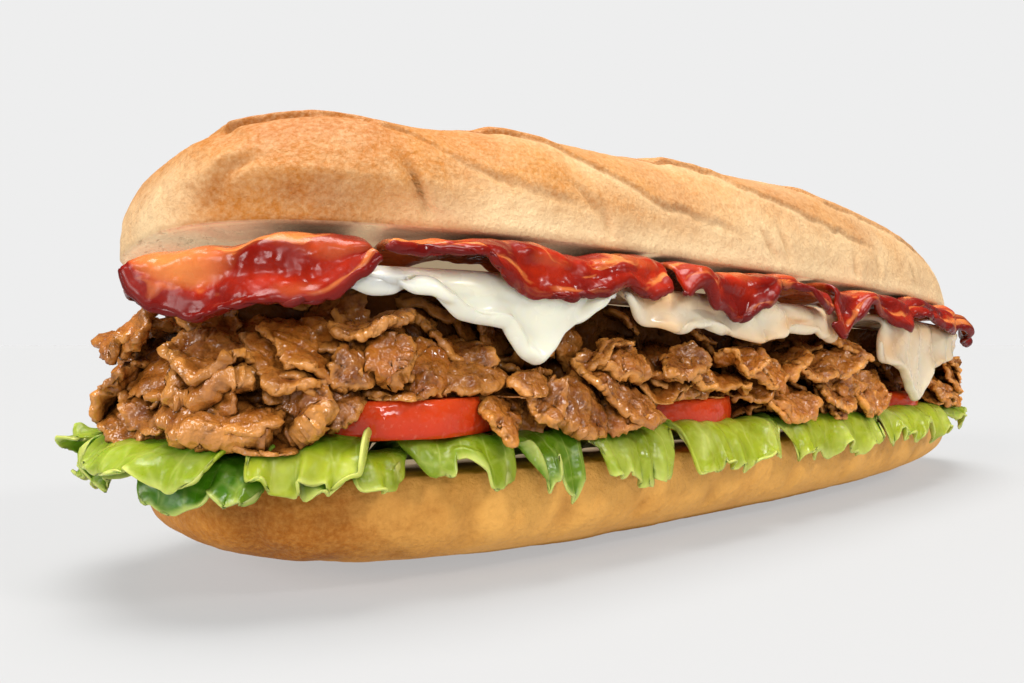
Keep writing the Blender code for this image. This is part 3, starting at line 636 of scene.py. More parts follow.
def makeBreadMaterial(name, colours, paintedTipLight, blotches, openFrom):
    # colours are the plain, the darker and the paler crust
    material, tree, shader, coords, tone, _ = newMaterial(name)
    lip, above, crumb = tone["Red"], tone["Green"], tone["Blue"]
    first, second, paler = (bread[key] for key in colours)
    cut = addNode(tree, "ShaderNodeAttribute", attribute_name="cut").outputs["Fac"]
    mottle = placeMottle(tree, coords, first, second, 38.0, 1100.0)
    place = addNode(tree, "ShaderNodeSeparateXYZ", {"Vector": coords}).outputs
    blotch = ramp(tree, noiseMask(tree, coords, 60.0, 5, 0.65), 0.35, 0.65, -blotches, blotches)
    # paler low down towards the right, partly the crust's own colour and partly painted light that brightens
    # the roll's right; at the left tip, which is painted light from the lamp on the left; and under the
    # scores
    sunken = times(tree, place["X"], math.tan(roll["noseDown"]))
    level = combine(tree, "ADD", place["Z"], sunken)
    low = ramp(tree, level, 0.064, 0.082, 1.0, 0.42)
    right = times(tree, low, ramp(tree, place["X"], -0.100, -0.020, 0.0, 0.85))
    paleLow = times(tree, ramp(tree, level, 0.064, 0.074, 1.0, 0.0), ramp(tree, place["X"], -0.118, -0.085))
    right = combine(tree, "MAXIMUM", right, paleLow)
    # painted light: the left tip is painted paler, where the lamp from the left catches it
    tip = ramp(tree, place["X"], -0.1325, -0.1405, 0.0, paintedTipLight)
    opened = times(tree, cut, ramp(tree, place["X"], -0.10, -0.06, 0.05, 0.65))
    palest = combine(tree, "MAXIMUM", combine(tree, "MAXIMUM", right, tip), opened)
    light = combine(tree, "ADD", palest, blotch)
    colour = mixColour(tree, light, mottle["Color"], paler)
    colour = mixColour(tree, times(tree, above, 0.6), colour, mottle["Color"])
    # the lips' own brown, with painted shade in the cracks and creases
    colour = mixColour(tree, times(tree, lip, 0.58), colour, bread["lip"])
    colour = mixColour(tree, times(tree, mottle["Speck"], 0.26), colour, paler)
    dots = ramp(tree, noiseMask(tree, coords, 620.0, 3, 0.6), 0.52, 0.70, 0.0, 0.4)
    dots = times(tree, dots, ramp(tree, light, 0.1, 0.8, 1.0, 0.35))
    colour = mixColour(tree, dots, colour, second)
    # painted shade: the crust goes dark and dull in the narrow gaps under the filling, and no crumb shows
    # there
    gaps = gapMask(tree, bread["gapReach"])
    colour = mixColour(tree, ramp(tree, gaps, 0.75, 0.30, 0.0, 0.85), colour, bread["shade"])
    crumb = times(tree, crumb, ramp(tree, gaps, openFrom, openFrom + 0.4))
    colour = mixColour(tree, crumb, colour, bread["crumb"])
    tree.links.new(colour, shader.inputs["Base Color"])
    # painted light: the open crumb glows in its own colour, though it is no lamp
    tree.links.new(mixColour(tree, crumb, (0, 0, 0), bread["crumb"]), shader.inputs["Emission Color"])
    shader.inputs["Emission Strength"].default_value = bread["crumbPaintedGlow"]
    grain = noiseMask(tree, coords, 750.0, 4, 0.6)
    pores = ramp(tree, noiseMask(tree, coords, 420.0, 3, 0.5), 0.30, 0.45)
    holes = mixColour(tree, crumb, (1, 1, 1), pores)
    relief = combine(tree, "ADD", times(tree, grain, 0.9), holes)
    bump = addNode(tree, "ShaderNodeBump", {"Height": relief, "Distance": 0.0006, "Strength": 0.9})
    tree.links.new(bump.outputs["Normal"], shader.inputs["Normal"])
    tree.links.new(ramp(tree, grain, 0.3, 0.7, 0.60, 0.42), shader.inputs["Roughness"])
    shine = times(tree, ramp(tree, crumb, 0.0, 1.0, 0.2, 0.0), ramp(tree, gaps, 0.5, 0.95))
    tree.links.new(shine, shader.inputs["Specular IOR Level"])
    return material


lettuce = {
    "bright": (0.50, 0.56, 0.022),
    "finish": (300.0, 0.0006, 0.42, 0.24),
    "deep": (0.055, 0.17, 0.004),
    "rib": (0.74, 0.78, 0.22),
    "thickness": 0.6 * mm,
    "inside": 15 * mm,
    "overlap": 4 * mm,
    "ruffleLength": 17 * mm,
    "ruffleHeight": 1.3 * mm,
    "outShare": 0.75,  # how much of the frill's waves goes outwards
    "lobe": 8.2 * mm,  # from one lobe, and one fold, to the next
    "smallLobe": 3.1 * mm,
    # to the right of this place the folds follow each other this much slower
    "calmStart": -44 * mm,
    "calm": 0.42,
    "rise": 3.4 * mm,  # how high a leaf arches over the rim of the base, at the front and behind
    "backRise": 1.6 * mm,
    "foldHeight": 1.35 * mm,
    "tightHeight": 0.8 * mm,  # small folds on the large ones
    "crumple": 1.0 * mm,
    "veins": 0.32 * mm,
    "cell": 0.5 * mm,
    "rows": 38,
    "gapReach": 6 * mm,
}

# leaves as name, start and end along the edge, level inside, crest, reach, level of the outer edge (mm),
# frill and darkness
leaves = (
    ("end_left", -193, -166, 2.6, 5.0, 9.5, 4.5, 1.0, 0.45),
    ("end_left_low", -190, -151, 0.9, 1.3, 7.5, 0.0, 0.8, 0.6),
    ("front_1", -148, -126, 1.1, 1.6, 7.0, -2.6, 0.35, 0.95),
    ("front_1_upper", -163, -132, 2.6, 4.6, 9.5, 2.5, 0.6, 0.45),
    ("front_2", -124, -106, 1.1, 1.6, 6.0, -1.8, 0.9, 0.2),
    ("front_2_upper", -130, -112, 2.6, 4.8, 7.0, 0.8, 1.1, 0.1),
    ("front_3", -105, -86, 1.6, 4.2, 6.5, -1.0, 0.6, 0.5),
    ("front_4", -85, -70, 0.9, 4.0, 7.0, -4.5, 0.25, 0.75),
    ("front_5", -68, -45, 0.9, 3.6, 6.0, -3.5, 0.5, 0.30),
    ("front_6", -43, -6, 0.9, 3.6, 6.0, -3.0, 0.9, 0.15),
    ("front_7", -4, 42, 0.9, 3.4, 6.0, -3.0, 1.0, 0.15),
    ("front_8", 44, 96, 0.9, 3.0, 6.0, -2.5, 1.0, 0.12),
    ("end_right", 98, 158, 0.9, 3.0, 6.5, -0.5, 0.9, 0.35),
    ("back_1", 160, 222, 0.9, 3.0, 6.5, -1.5, 0.9, 0.3),
    ("back_2", 224, 280, 0.9, 3.4, 7.0, -2.5, 0.6, 0.6),
    ("back_3", 282, 338, 0.9, 3.8, 6.0, -1.5, 1.0, 0.2),
    ("back_4", 340, 392, 0.9, 4.2, 7.0, -2.5, 0.7, 0.5),
    ("back_5", 394, 444, 0.9, 4.6, 7.0, -0.5, 0.9, 0.3),
)


def makeLeaf(row, number, material):
    name, frill, dark = row[0], row[7], row[8]
    start, end, level, crest, reach, tip = (value * mm for value in row[1:7])
    start, end = start - lettuce["overlap"], end + lettuce["overlap"]
    # the leaf rises under the filling before it hangs over the edge
    rise = lettuce["rise"] if -168 * mm < start and end < 150 * mm else lettuce["backRise"]
    path = smoothPath([
        (-lettuce["inside"], level),
        (-6 * mm, level + 0.8 * (crest - level) + rise),
        (1.5 * mm, crest + rise),
        (reach * 0.75, 0.55 * crest + 0.45 * tip + 0.5 * rise),
        (reach, tip),
    ])
    bm = bmesh.new()
    layer = toneLayer(bm)
    columns = round((end - start) / lettuce["cell"])
    bmesh.ops.create_grid(bm, x_segments=columns, y_segments=lettuce["rows"], size=0.5)
    for vert in bm.verts:
        u, v = vert.co.x + 0.5, vert.co.y + 0.5
        # the sides slant in towards the outer edge
        along = start + (end - start) * u - (u - 0.5) * (9 + 5 * wobble(v * 3, u, 0, number)) * v * v * mm
        edge = max(0.0, v - 0.35) / 0.65
        folded = along - lettuce["calm"] * max(0.0, along - lettuce["calmStart"])
        # rounded lobes with narrow notches between them, large and small
        drift = 5.0 * wobble(along / (13 * mm), 6, 0, number)
        lobes = abs(math.sin(folded / lettuce["lobe"] * math.pi + drift)) ** 0.6
        small = abs(math.sin(along / lettuce["smallLobe"] * math.pi + 2 * drift)) ** 0.7
        notch = 1.08 - edge * (0.24 * (1 - lobes) + 0.12 * (1 - small))
        notch -= 0.32 * edge * wobble(along / (9 * mm), 1, 0, number)
        side = min(u, 1 - u) * (end - start)
        rounded = 1 - 0.4 * (1 - smoothstep(0, 5 * mm, side))
        offset, height = pathPoint(path, min(1.0, v * max(0.2, notch) * rounded))
        ruffle = math.sin(along / lettuce["ruffleLength"] * 2 * math.pi) * max(0.0, v - 0.5) / 0.5
        # the folds slant one way and the other
        lean = 9 * v * wobble(along / (16 * mm), 8, 0, number)
        phase = folded / lettuce["lobe"] * 2 * math.pi + 2 * drift + lean
        curl = math.sin(phase) * edge ** 1.4
        tight = math.sin(phase * 2.37 + 2.5 * v + number) * edge ** 2.6
        uneven = 1 + 0.8 * wobble(along / (7 * mm), 4, 0, number)
        folds = lettuce["foldHeight"] * curl + lettuce["tightHeight"] * tight
        wave = folds * (0.35 + 0.65 * frill) * uneven
        crumple = lettuce["crumple"] * wobble(along / (5 * mm), v * 4, 0, number) * (0.3 + v)
        vein = lettuce["veins"] * wobble(along / (2.4 * mm), v * 11, 2, number)
        spread = 0.8 * mm * ruffle + lettuce["outShare"] * wave
        slide = 0.8 * mm * edge ** 2 * math.cos(phase * 1.7)
        spot = edgePlace(along + slide, offset + spread, height)
        spot.z += baseFace(spot.x) + lettuce["ruffleHeight"] * ruffle + 0.85 * wave + crumple + vein
        floor = baseFace(spot.x) + 0.5 * mm
        if edgeOffset(spot.x, spot.y) < 0.8 * mm:
            spot.z = max(spot.z, floor)
        vert.co = spot
        vert[layer] = (dark, v, u, 0.5 + 0.5 * wobble(along / (9 * mm), v * 3, 5, number))
    smoothAll(bm, 3)
    thickenSheet(bm, lettuce["thickness"], 0.8)
    return addPiece("leaf_" + name, bm, material, ["lettuce_" + name])


def makeLettuceMaterial():
    material, tree, shader, coords, tone, patchy = newMaterial("lettuce_leaf")
    dark, outward, across = tone["Red"], tone["Green"], tone["Blue"]
    mottle = placeMottle(tree, coords, lettuce["bright"], darker(lettuce["bright"], 0.72), 110.0, 700.0)
    depth = times(tree, dark, ramp(tree, patchy, 0.15, 0.6, 0.75, 1.1))
    colour = mixColour(tree, depth, mottle["Color"], lettuce["deep"])
    # fresh pale patches, a pale fringe along the outer edge, and pale ribs that fan out from inside
    fresh = times(tree, ramp(tree, patchy, 0.50, 0.80, 0.0, 0.45), ramp(tree, dark, 0.6, 0.2))
    colour = mixColour(tree, fresh, colour, lettuce["rib"])
    fringe = ramp(tree, outward, 0.86, 1.0, 0.0, 0.65)
    colour = mixColour(tree, fringe, colour, lettuce["rib"])
    values = {"Vector": coords, "Scale": 210.0}
    cells = addNode(tree, "ShaderNodeTexVoronoi", values, feature="DISTANCE_TO_EDGE")
    veins = ramp(tree, cells.outputs["Distance"], 0.0, 0.12, 0.14, 0.0)
    bent = combine(tree, "ADD", across, times(tree, noiseMask(tree, coords, 90.0, 2, 0.5), 0.22))
    fan = combine(tree, "PINGPONG", bent, 0.09)
    ribs = times(tree, ramp(tree, fan, 0.0, 0.012, 0.35, 0.0), ramp(tree, outward, 0.95, 0.6))
    colour = mixColour(tree, combine(tree, "MAXIMUM", veins, ribs), colour, lettuce["rib"])
    inner = ramp(tree, outward, 0.45, 0.15, 0.0, 0.5)
    colour = mixColour(tree, inner, colour, lettuce["rib"])
    # painted shade: darker green in the folds and where the filling and other leaves stand close
    shaded = ramp(tree, gapMask(tree, lettuce["gapReach"]), 0.80, 0.30, 0.0, 0.85)
    colour = mixColour(tree, shaded, colour, lettuce["deep"])
    tree.links.new(colour, shader.inputs["Base Color"])
    shader.inputs["Specular IOR Level"].default_value = 0.35
    placeMoist(tree, shader, coords, lettuce["finish"])
    letLightIn(shader, 0.30, (0.0012, 0.002, 0.0004))
    return material


tomato = {
    "skin": (0.62, 0.022, 0.003),
    "finish": (400.0, 0.0004, 0.3, 0.10),
    "flesh": (0.88, 0.105, 0.014),
    "seed": (0.80, 0.42, 0.16),
    "radius": 21.5 * mm,
    "thickness": 6.6 * mm,
    "segments": 96,
    "insets": (1.0 * mm, 1.6 * mm, 3.0 * mm, 4.0 * mm),
    "fleck": (0.9, 0.5, 0.3),
}

# half slices as (name, centre x, centre y, underside, turn in degrees of the round side from the front)
tomatoes = (
    ("front_left", -99, -17, 28.4, -3),
    ("front_middle", -28, -19, 25.4, 4),
    ("front_right", 72, -17.5, 22.6, 3),
    ("back_left", -84, 17, 27.0, 176),
    ("back_middle", 8, 19, 25.0, 184),
    ("back_right", 84, 16, 22.8, 178),
)


def makeTomato(row, number, material):
    name, x, y, underside, turn = row
    bm = bmesh.new()
    bmesh.ops.create_circle(bm, cap_ends=True, segments=tomato["segments"], radius=tomato["radius"])
    everything = bm.verts[:] + bm.edges[:] + bm.faces[:]
    bmesh.ops.bisect_plane(bm, geom=everything, plane_co=(0, 0, 0), plane_no=(0, 1, 0), clear_outer=True)
    for inset in tomato["insets"]:
        middle = max(bm.faces, key=lambda face: face.calc_area())
        bmesh.ops.inset_region(bm, faces=[middle], thickness=inset)
    made = bmesh.ops.extrude_face_region(bm, geom=bm.faces[:])
    raised = [item for item in made["geom"] if isinstance(item, bmesh.types.BMVert)]
    bmesh.ops.translate(bm, verts=raised, vec=(0, 0, tomato["thickness"]))
    bmesh.ops.recalc_face_normals(bm, faces=bm.faces)
    walls = [edge for edge in bm.edges if abs(edge.verts[0].co.z - edge.verts[1].co.z) > 3 * mm]
    bmesh.ops.subdivide_edges(bm, edges=walls, cuts=5, use_grid_fill=True)
    layer = toneLayer(bm)
    for vert in bm.verts:
        away = math.hypot(vert.co.x, vert.co.y)
        up = vert.co.z / tomato["thickness"]
        skin = smoothstep(tomato["radius"] - 0.9 * mm, tomato["radius"] - 0.3 * mm, away)
        vert[layer] = (skin, away / tomato["radius"], up, 0)
        # the slice's round side bulges a little at mid height, and its faces aren't quite flat
        swell = (0.35 * math.sin(up * math.pi) - 0.30) * mm * skin
        vert.co.x *= 1 + swell / tomato["radius"]
        vert.co.y *= 1 + swell / tomato["radius"]
        vert.co.z += 0.25 * mm * wobble(vert.co.x * 120, vert.co.y * 120, number, 4)
    place = Matrix.Translation((x * mm, y * mm, underside * mm))
    bm.transform(place @ Matrix.Rotation(math.radians(turn), 4, "Z"))
    return addPiece("tomato_slice_" + name, bm, material, ["tomato_" + name])


def makeTomatoMaterial():
    material, tree, shader, coords, tone, _ = newMaterial("tomato_flesh")
    skin, away = tone["Red"], tone["Green"]
    mottle = placeMottle(tree, coords, tomato["flesh"], darker(tomato["flesh"], 0.8), 150.0, 800.0)
    seeds = times(tree, mottle["Speck"], ramp(tree, away, 0.75, 0.45, 0.0, 0.5))
    colour = mixColour(tree, seeds, mottle["Color"], tomato["seed"])
    side = ramp(tree, tone["Blue"], 0.10, 0.9, 0.75, 0.45)
    colour = mixColour(tree, times(tree, skin, side), colour, tomato["skin"])
    flecks = times(tree, ramp(tree, noiseMask(tree, coords, 1300.0, 2, 0.5), 0.60, 0.75), 0.12)
    colour = mixColour(tree, flecks, colour, tomato["fleck"])
    tree.links.new(colour, shader.inputs["Base Color"])
    placeMoist(tree, shader, coords, tomato["finish"])
    letLightIn(shader, 0.25, (0.003, 0.0008, 0.0004))
    return material


cheese = {
    "colour": (0.93, 0.89, 0.72),
    "finish": (120.0, 0.0003, 0.36, 0.16),
    "fat": (0.86, 0.47, 0.20),
    "thickness": 2.4 * mm,
    "drop": 8.0 * mm,  # from the crown's cut face down to the sheet
    "inside": 12 * mm,
    "cell": 0.6 * mm,
    "rows": 52,
    "hem": 0.45 * mm,  # how much the hanging edge swells
    "folds": 2.4 * mm,
    "runs": 0.35 * mm,  # upright runs in the melted sheet
}

# sheets as (name, how thin and fatty, hanging edge as (along, height in mm) points)
cheeses = (
    ("front_left", 0.0, (
        (-118, 58), (-114.5, 55), (-112.5, 53.9), (-108, 54.2), (-103.5, 54), (-100.5, 51.6), (-97, 49.7),
        (-92.5, 48.8), (-88.5, 48.3), (-86, 45.3), (-84, 42.3), (-81, 40.8), (-78.5, 43.2), (-77, 46.8),
        (-72.5, 48.8), (-68.5, 51.7), (-66, 54.5), (-63, 58),
    )),
    ("front_middle", 0.7, (
        (-61, 57), (-59.5, 52.5), (-53.5, 48.4), (-46, 47), (-36, 48.3), (-25.5, 46.6), (-16.5, 44.7),
        (-8, 45.9), (-1.5, 47.8), (6.5, 47.3), (13, 46), (18, 45), (21, 50),
    )),
    ("front_right", 0.65, (
        (44, 45), (46, 39), (52, 38), (56, 36.8), (61, 32.9), (65, 29.8), (69, 27), (72, 28), (74, 30.5),
        (78, 34.5), (81, 36.6), (88, 38), (96, 39), (102, 41.5), (108, 45),
    )),
    ("back_left", 0.2, (
        (386, 47), (392, 42), (398, 40.5), (404, 37.5), (410, 41), (420, 42.5), (427, 44), (432, 49),
    )),
    ("back_right", 0.3, (
        (252, 42), (258, 38), (268, 37), (276, 32), (283, 37.5),
        (292, 37), (300, 34), (306, 38), (313, 40), (318, 45),
    )),
)


def makeCheese(row, number, material):
    name, thin, hem = row
    start, end = hem[0][0] * mm, hem[-1][0] * mm
    bm = bmesh.new()
    layer = toneLayer(bm)
    columns = round((end - start) / cheese["cell"])
    bmesh.ops.create_grid(bm, x_segments=columns, y_segments=cheese["rows"], size=0.5)
    for vert in bm.verts:
        u, v = vert.co.x + 0.5, vert.co.y + 0.5
        along = start + (end - start) * u
        inside, edge = edgePlace(along, -cheese["inside"] - 2 * mm, 0), edgePlace(along, 0, 0)
        innerTop = crownFace(inside.x, inside.y) - cheese["drop"]
        outerTop = crownFace(edge.x, edge.y) - cheese["drop"]
        low = min(hemHeight(hem, along), outerTop - 2 * mm)
        path = smoothPath([
            (-cheese["inside"], innerTop),
            (0.6 * mm, outerTop),
            (3.0 * mm, outerTop - 2.4 * mm),
            (2.6 * mm, (outerTop + low) / 2 - 0.5 * mm),
            (3.4 * mm, low),
        ])
        offset, height = pathPoint(path, v)
        hang = smoothstep(0.15, 0.6, v)
        fold = 0.8 * mm + cheese["folds"] * wobble(along / (8 * mm), v * 2.0, 0, number + 20)
        drift = 6 * wobble(along / (14 * mm), v * 1.5, 0, number)
        runs = cheese["runs"] * math.sin(along / (2.6 * mm) + drift)
        vert.co = edgePlace(along, offset + (fold + runs * smoothstep(0.3, 0.8, v)) * hang, height)
        vert[layer] = (v, u, 0.5 + 0.5 * wobble(along / (12 * mm), v * 3, 1, number), thin)
    bmesh.ops.recalc_face_normals(bm, faces=bm.faces)
    thickenSheet(bm, cheese["thickness"] * (1 - 0.3 * thin), 0.6)
    swellHem(bm, layer, cheese["hem"])
    smoothAll(bm, 5)
    return addPiece("cheese_melt_" + name, bm, material, ["cheese_" + name])


def makeCheeseMaterial():
    material, tree, shader, coords, tone, thin = newMaterial("melted_cheese")
    mottle = placeMottle(tree, coords, cheese["colour"], darker(cheese["colour"], 0.93), 60.0, 500.0)
    fatty = times(tree, thin, ramp(tree, tone["Blue"], 0.2, 0.7, 0.35, 1.0))
    fatty = combine(tree, "ADD", fatty, ramp(tree, tone["Blue"], 0.6, 0.85, 0.0, 0.15))
    colour = mixColour(tree, fatty, mottle["Color"], cheese["fat"])
    tree.links.new(colour, shader.inputs["Base Color"])
    placeMoist(tree, shader, coords, cheese["finish"])
    letLightIn(shader, 0.45, (0.004, 0.003, 0.0015))
    return material


bacon = {
    "lean": (0.16, 0.003, 0.001),
    "finish": (260.0, 0.0008, 0.38, 0.15),
    "meaty": (0.52, 0.024, 0.003),
    "fat": (0.84, 0.26, 0.062),
    "rim": (0.13, 0.003, 0.002),
    "thickness": 1.3 * mm,
    "drop": 2.9 * mm,
    "snug": 1.5 * mm,  # how much closer to the crown the long edge's rashers lie at the rim
    "inside": 15 * mm,
    "cell": 0.6 * mm,
    "rows": 52,
    "hem": 0.5 * mm,
    "strip": 100 * mm,  # the pattern along a rasher starts again after this
    "waves": 1.5 * mm,
    "slide": 0.9 * mm,
    # coarse and fine
    "wrinkles": (1.3 * mm, 0.45 * mm),
    "ragged": (0.9 * mm, 0.4 * mm),
}

# rashers as name, reach past the roll and length of its waves in mm, phase in turns, and the hanging
# edge as (along, height in mm) points
rashers = (
    ("end_left", -2.5, 24, 0.10, (
        (-199, 57), (-192, 55), (-180, 56), (-168, 54.5), (-160, 55.5), (-156, 57),
    )),
    ("front_left", 6.0, 40, 0.60, (
        (-147, 56), (-145, 52), (-142, 50.3), (-139.5, 49.7), (-134, 49), (-128, 50.6), (-124.5, 51.2),
        (-118.5, 52.2), (-114.5, 55.8), (-112, 60.5),
    )),
    ("front_second", 6.2, 34, 0.55, (
        (-110, 61.5), (-104, 62.5), (-96, 61.5), (-91.5, 56.5), (-85, 54),
        (-78.5, 52.5), (-71, 54), (-63.5, 55.8), (-56, 54), (-49, 55),
    )),
    ("front_third", 6.2, 36, 0.18, (
        (-46, 54.5), (-39.5, 57), (-33, 52.5), (-25.5, 49.5), (-17, 53.5),
        (-7.5, 60), (-1, 58), (4, 54), (12, 52),
    )),
    ("front_right", 6.2, 29, 0.30, (
        (15, 49.5), (18.5, 46.5), (25, 50.5), (33.5, 55.5), (41, 52), (51.5, 47.8), (62, 52),
        (75, 51.5), (84, 48.5), (93, 47.5), (104, 49), (112, 46), (120, 43), (128, 45),
    )),
    ("back_left", 6.2, 34, 0.20, ((398, 47), (406, 44), (416, 46.5), (427, 43.5), (438, 46))),
    ("back_middle", 6.2, 36, 0.60, (
        (316, 44), (324, 41), (336, 44.5), (350, 41), (364, 44.5), (378, 40.5), (394, 44),
    )),
    ("back_right", 6.2, 33, 0.00, (
        (200, 40), (208, 37), (220, 40.5), (236, 37), (252, 40),
        (268, 37), (284, 40.5), (300, 37), (312, 41),
    )),
)


def makeRasher(row, number, material):
    name, reach, length, phase, hem = row
    start, end, reach, length = hem[0][0] * mm, hem[-1][0] * mm, reach * mm, length * mm
    bm = bmesh.new()
    layer = toneLayer(bm)
    columns = round((end - start) / bacon["cell"])
    bmesh.ops.create_grid(bm, x_segments=columns, y_segments=bacon["rows"], size=0.5)
    for vert in bm.verts:
        u, v = vert.co.x + 0.5, vert.co.y + 0.5
        along = start + (end - start) * u
        turn = 2 * math.pi * ((along - start) / length + phase)
        inside, edge = edgePlace(along, -bacon["inside"], 0), edgePlace(along, 0, 0)
        inner = crownFace(inside.x, inside.y) - bacon["drop"] + 1.0 * mm * math.sin(turn)
        outer = crownFace(edge.x, edge.y) - bacon["drop"] - 0.8 * mm + 0.8 * mm * math.sin(turn)
        outer += bacon["snug"] if number > 1 else 0
        out = reach + 0.5 * mm * math.sin(turn * 2 + 1)
        ragged = bacon["ragged"][0] * wobble(along / (4 * mm), 0, 0, number + 40)
        ragged += bacon["ragged"][1] * wobble(along / (1.5 * mm), 0, 0, number + 41)
        low = min(hemHeight(hem, along), outer - 2.6 * mm) + ragged
        path = smoothPath([
            (-bacon["inside"], inner),
            (reach - 7.2 * mm, outer),
            (out - 0.8 * mm, outer - 1.6 * mm),
            (out - 0.8 * mm, 0.45 * outer + 0.55 * low),
            (out + 1.0 * mm, low + 0.5 * mm),
            (out + 0.4 * mm, low),
        ], 2)
        offset, height = pathPoint(path, v)
        free = smoothstep(0.25, 0.6, v)
        wave = bacon["waves"] * math.sin(turn * 1.5 + 2.5 * v + number) * free
        wrinkle = bacon["wrinkles"][0] * wobble(along / (7 * mm), v * 2.5, 0, number + 50)
        wrinkle += bacon["wrinkles"][1] * wobble(along / (2.6 * mm), v * 9, 0, number + 51)
        slide = bacon["slide"] * math.sin(turn * 0.5 + v * 3)
        height += 0.8 * wrinkle * (1 - 0.5 * v)
        vert.co = edgePlace(along + slide, offset + wave * 0.6 + wrinkle, height)
        patch = 0.5 + 0.5 * wobble(along / (15 * mm), v * 4, 7, number)
        vert[layer] = (v, patch, along % bacon["strip"] / bacon["strip"], 0)
    bmesh.ops.recalc_face_normals(bm, faces=bm.faces)
    thickenSheet(bm, bacon["thickness"], 0.7)
    swellHem(bm, layer, bacon["hem"])
    smoothAll(bm, 2)
    return addPiece("rasher_" + name, bm, material, ["bacon_" + name])


def makeBaconMaterial():
    material, tree, shader, coords, tone, _ = newMaterial("fried_bacon")
    across, patch, along = tone["Red"], tone["Green"], tone["Blue"]
    drift = times(tree, noiseMask(tree, coords, 45.0, 3, 0.5), 0.75)
    values = {"X": combine(tree, "ADD", across, drift), "Y": times(tree, along, 1.2)}
    lines = addNode(tree, "ShaderNodeCombineXYZ", values)
    streaks = noiseMask(tree, lines.outputs["Vector"], 5.0, 4, 0.5, 0.5)
    mottle = placeMottle(tree, coords, bacon["lean"], bacon["meaty"], 70.0, 900.0)
    # lean and dark towards the hanging edge, with fat running along above it
    depth = ramp(tree, across, 0.62, 0.86, 0.0, 0.85)
    colour = mixColour(tree, depth, mottle["Color"], bacon["lean"])
    colour = mixColour(tree, ramp(tree, patch, 0.42, 0.60, 0.0, 0.7), colour, bacon["lean"])
    striped = times(tree, ramp(tree, streaks, 0.55, 0.64), ramp(tree, across, 0.88, 0.62, 0.05, 0.8))
    place = addNode(tree, "ShaderNodeSeparateXYZ", {"Vector": coords}).outputs["X"]
    shift = ramp(tree, place, -0.128, -0.112, 0.0, 0.22)
    spread = combine(tree, "ADD", combine(tree, "ADD", across, times(tree, patch, 0.9)), shift)
    upper = ramp(tree, spread, 1.02, 0.58, 0.0, 0.9)
    colour = mixColour(tree, combine(tree, "MAXIMUM", striped, upper), colour, bacon["fat"])
    rim = ramp(tree, across, 0.90, 0.97, 0.0, 0.85)
    colour = mixColour(tree, rim, colour, bacon["rim"])
    tree.links.new(colour, shader.inputs["Base Color"])
    shader.inputs["Specular IOR Level"].default_value = 0.3
    placeMoist(tree, shader, coords, bacon["finish"])
    letLightIn(shader, 0.08, (0.003, 0.0006, 0.0003))
    return material


meat = {
    "paintedLightLeft": (0.92, 0.88, 0.86),  # painted light: the slices are painted lighter from left to right, as if lit more brightly on the right
    "paintedLightRight": (1.45, 1.42, 1.35),
    "tan": (0.47, 0.165, 0.026),
    "finish": (520.0, 0.0010, 0.34, 0.12),
    "brown": (0.19, 0.045, 0.005),
    # the burnt near black of charred spots, also used as painted shade deep in the heap and in its gaps
    "charAndShade": (0.030, 0.008, 0.002),
    "oil": (0.52, 0.140, 0.007),
    "crisp": (0.80, 0.345, 0.070),
    "gapReach": 5 * mm,
    "seed": 41,
    "floor": 25.0 * mm,
    "floorSlope": -0.018,
    "ceilingDrop": 9.5 * mm,
    "coreInset": 8 * mm,
    "upperReach": 0.0,
    "lowerReach": 6.5 * mm,
    "thickness": 1.5 * mm,
    "slimmer": 0.78,  # a shown slice's thickness against its listed one
    "levels": 6,
    # the range of a heaped slice's length, width and curl, and of the way from one slice to the next
    "lengths": (13 * mm, 25 * mm),
    "widths": (11 * mm, 17 * mm),
    "curls": (0, 5 * mm),
    "frontSpacing": (9 * mm, 14 * mm),
    "backSpacing": (17 * mm, 25 * mm),
    "frontSunk": (1.2 * mm, 7 * mm),  # how far a slice lies behind the heap's outer face
    "backSunk": (0, 5 * mm),
    # most slices lie nearly flat, and the others stand
    "flatShare": 0.75,
    "flatTilt": (-0.2, 0.45),
    "steepTilt": (0.6, 1.1),
    "coarseRelief": 0.42 * mm,
    "fineRelief": 0.34 * mm,
    "crack": 0.75 * mm,
    "cells": {"shown": 0.45 * mm, "front": 0.8 * mm, "back": 1.1 * mm},
}

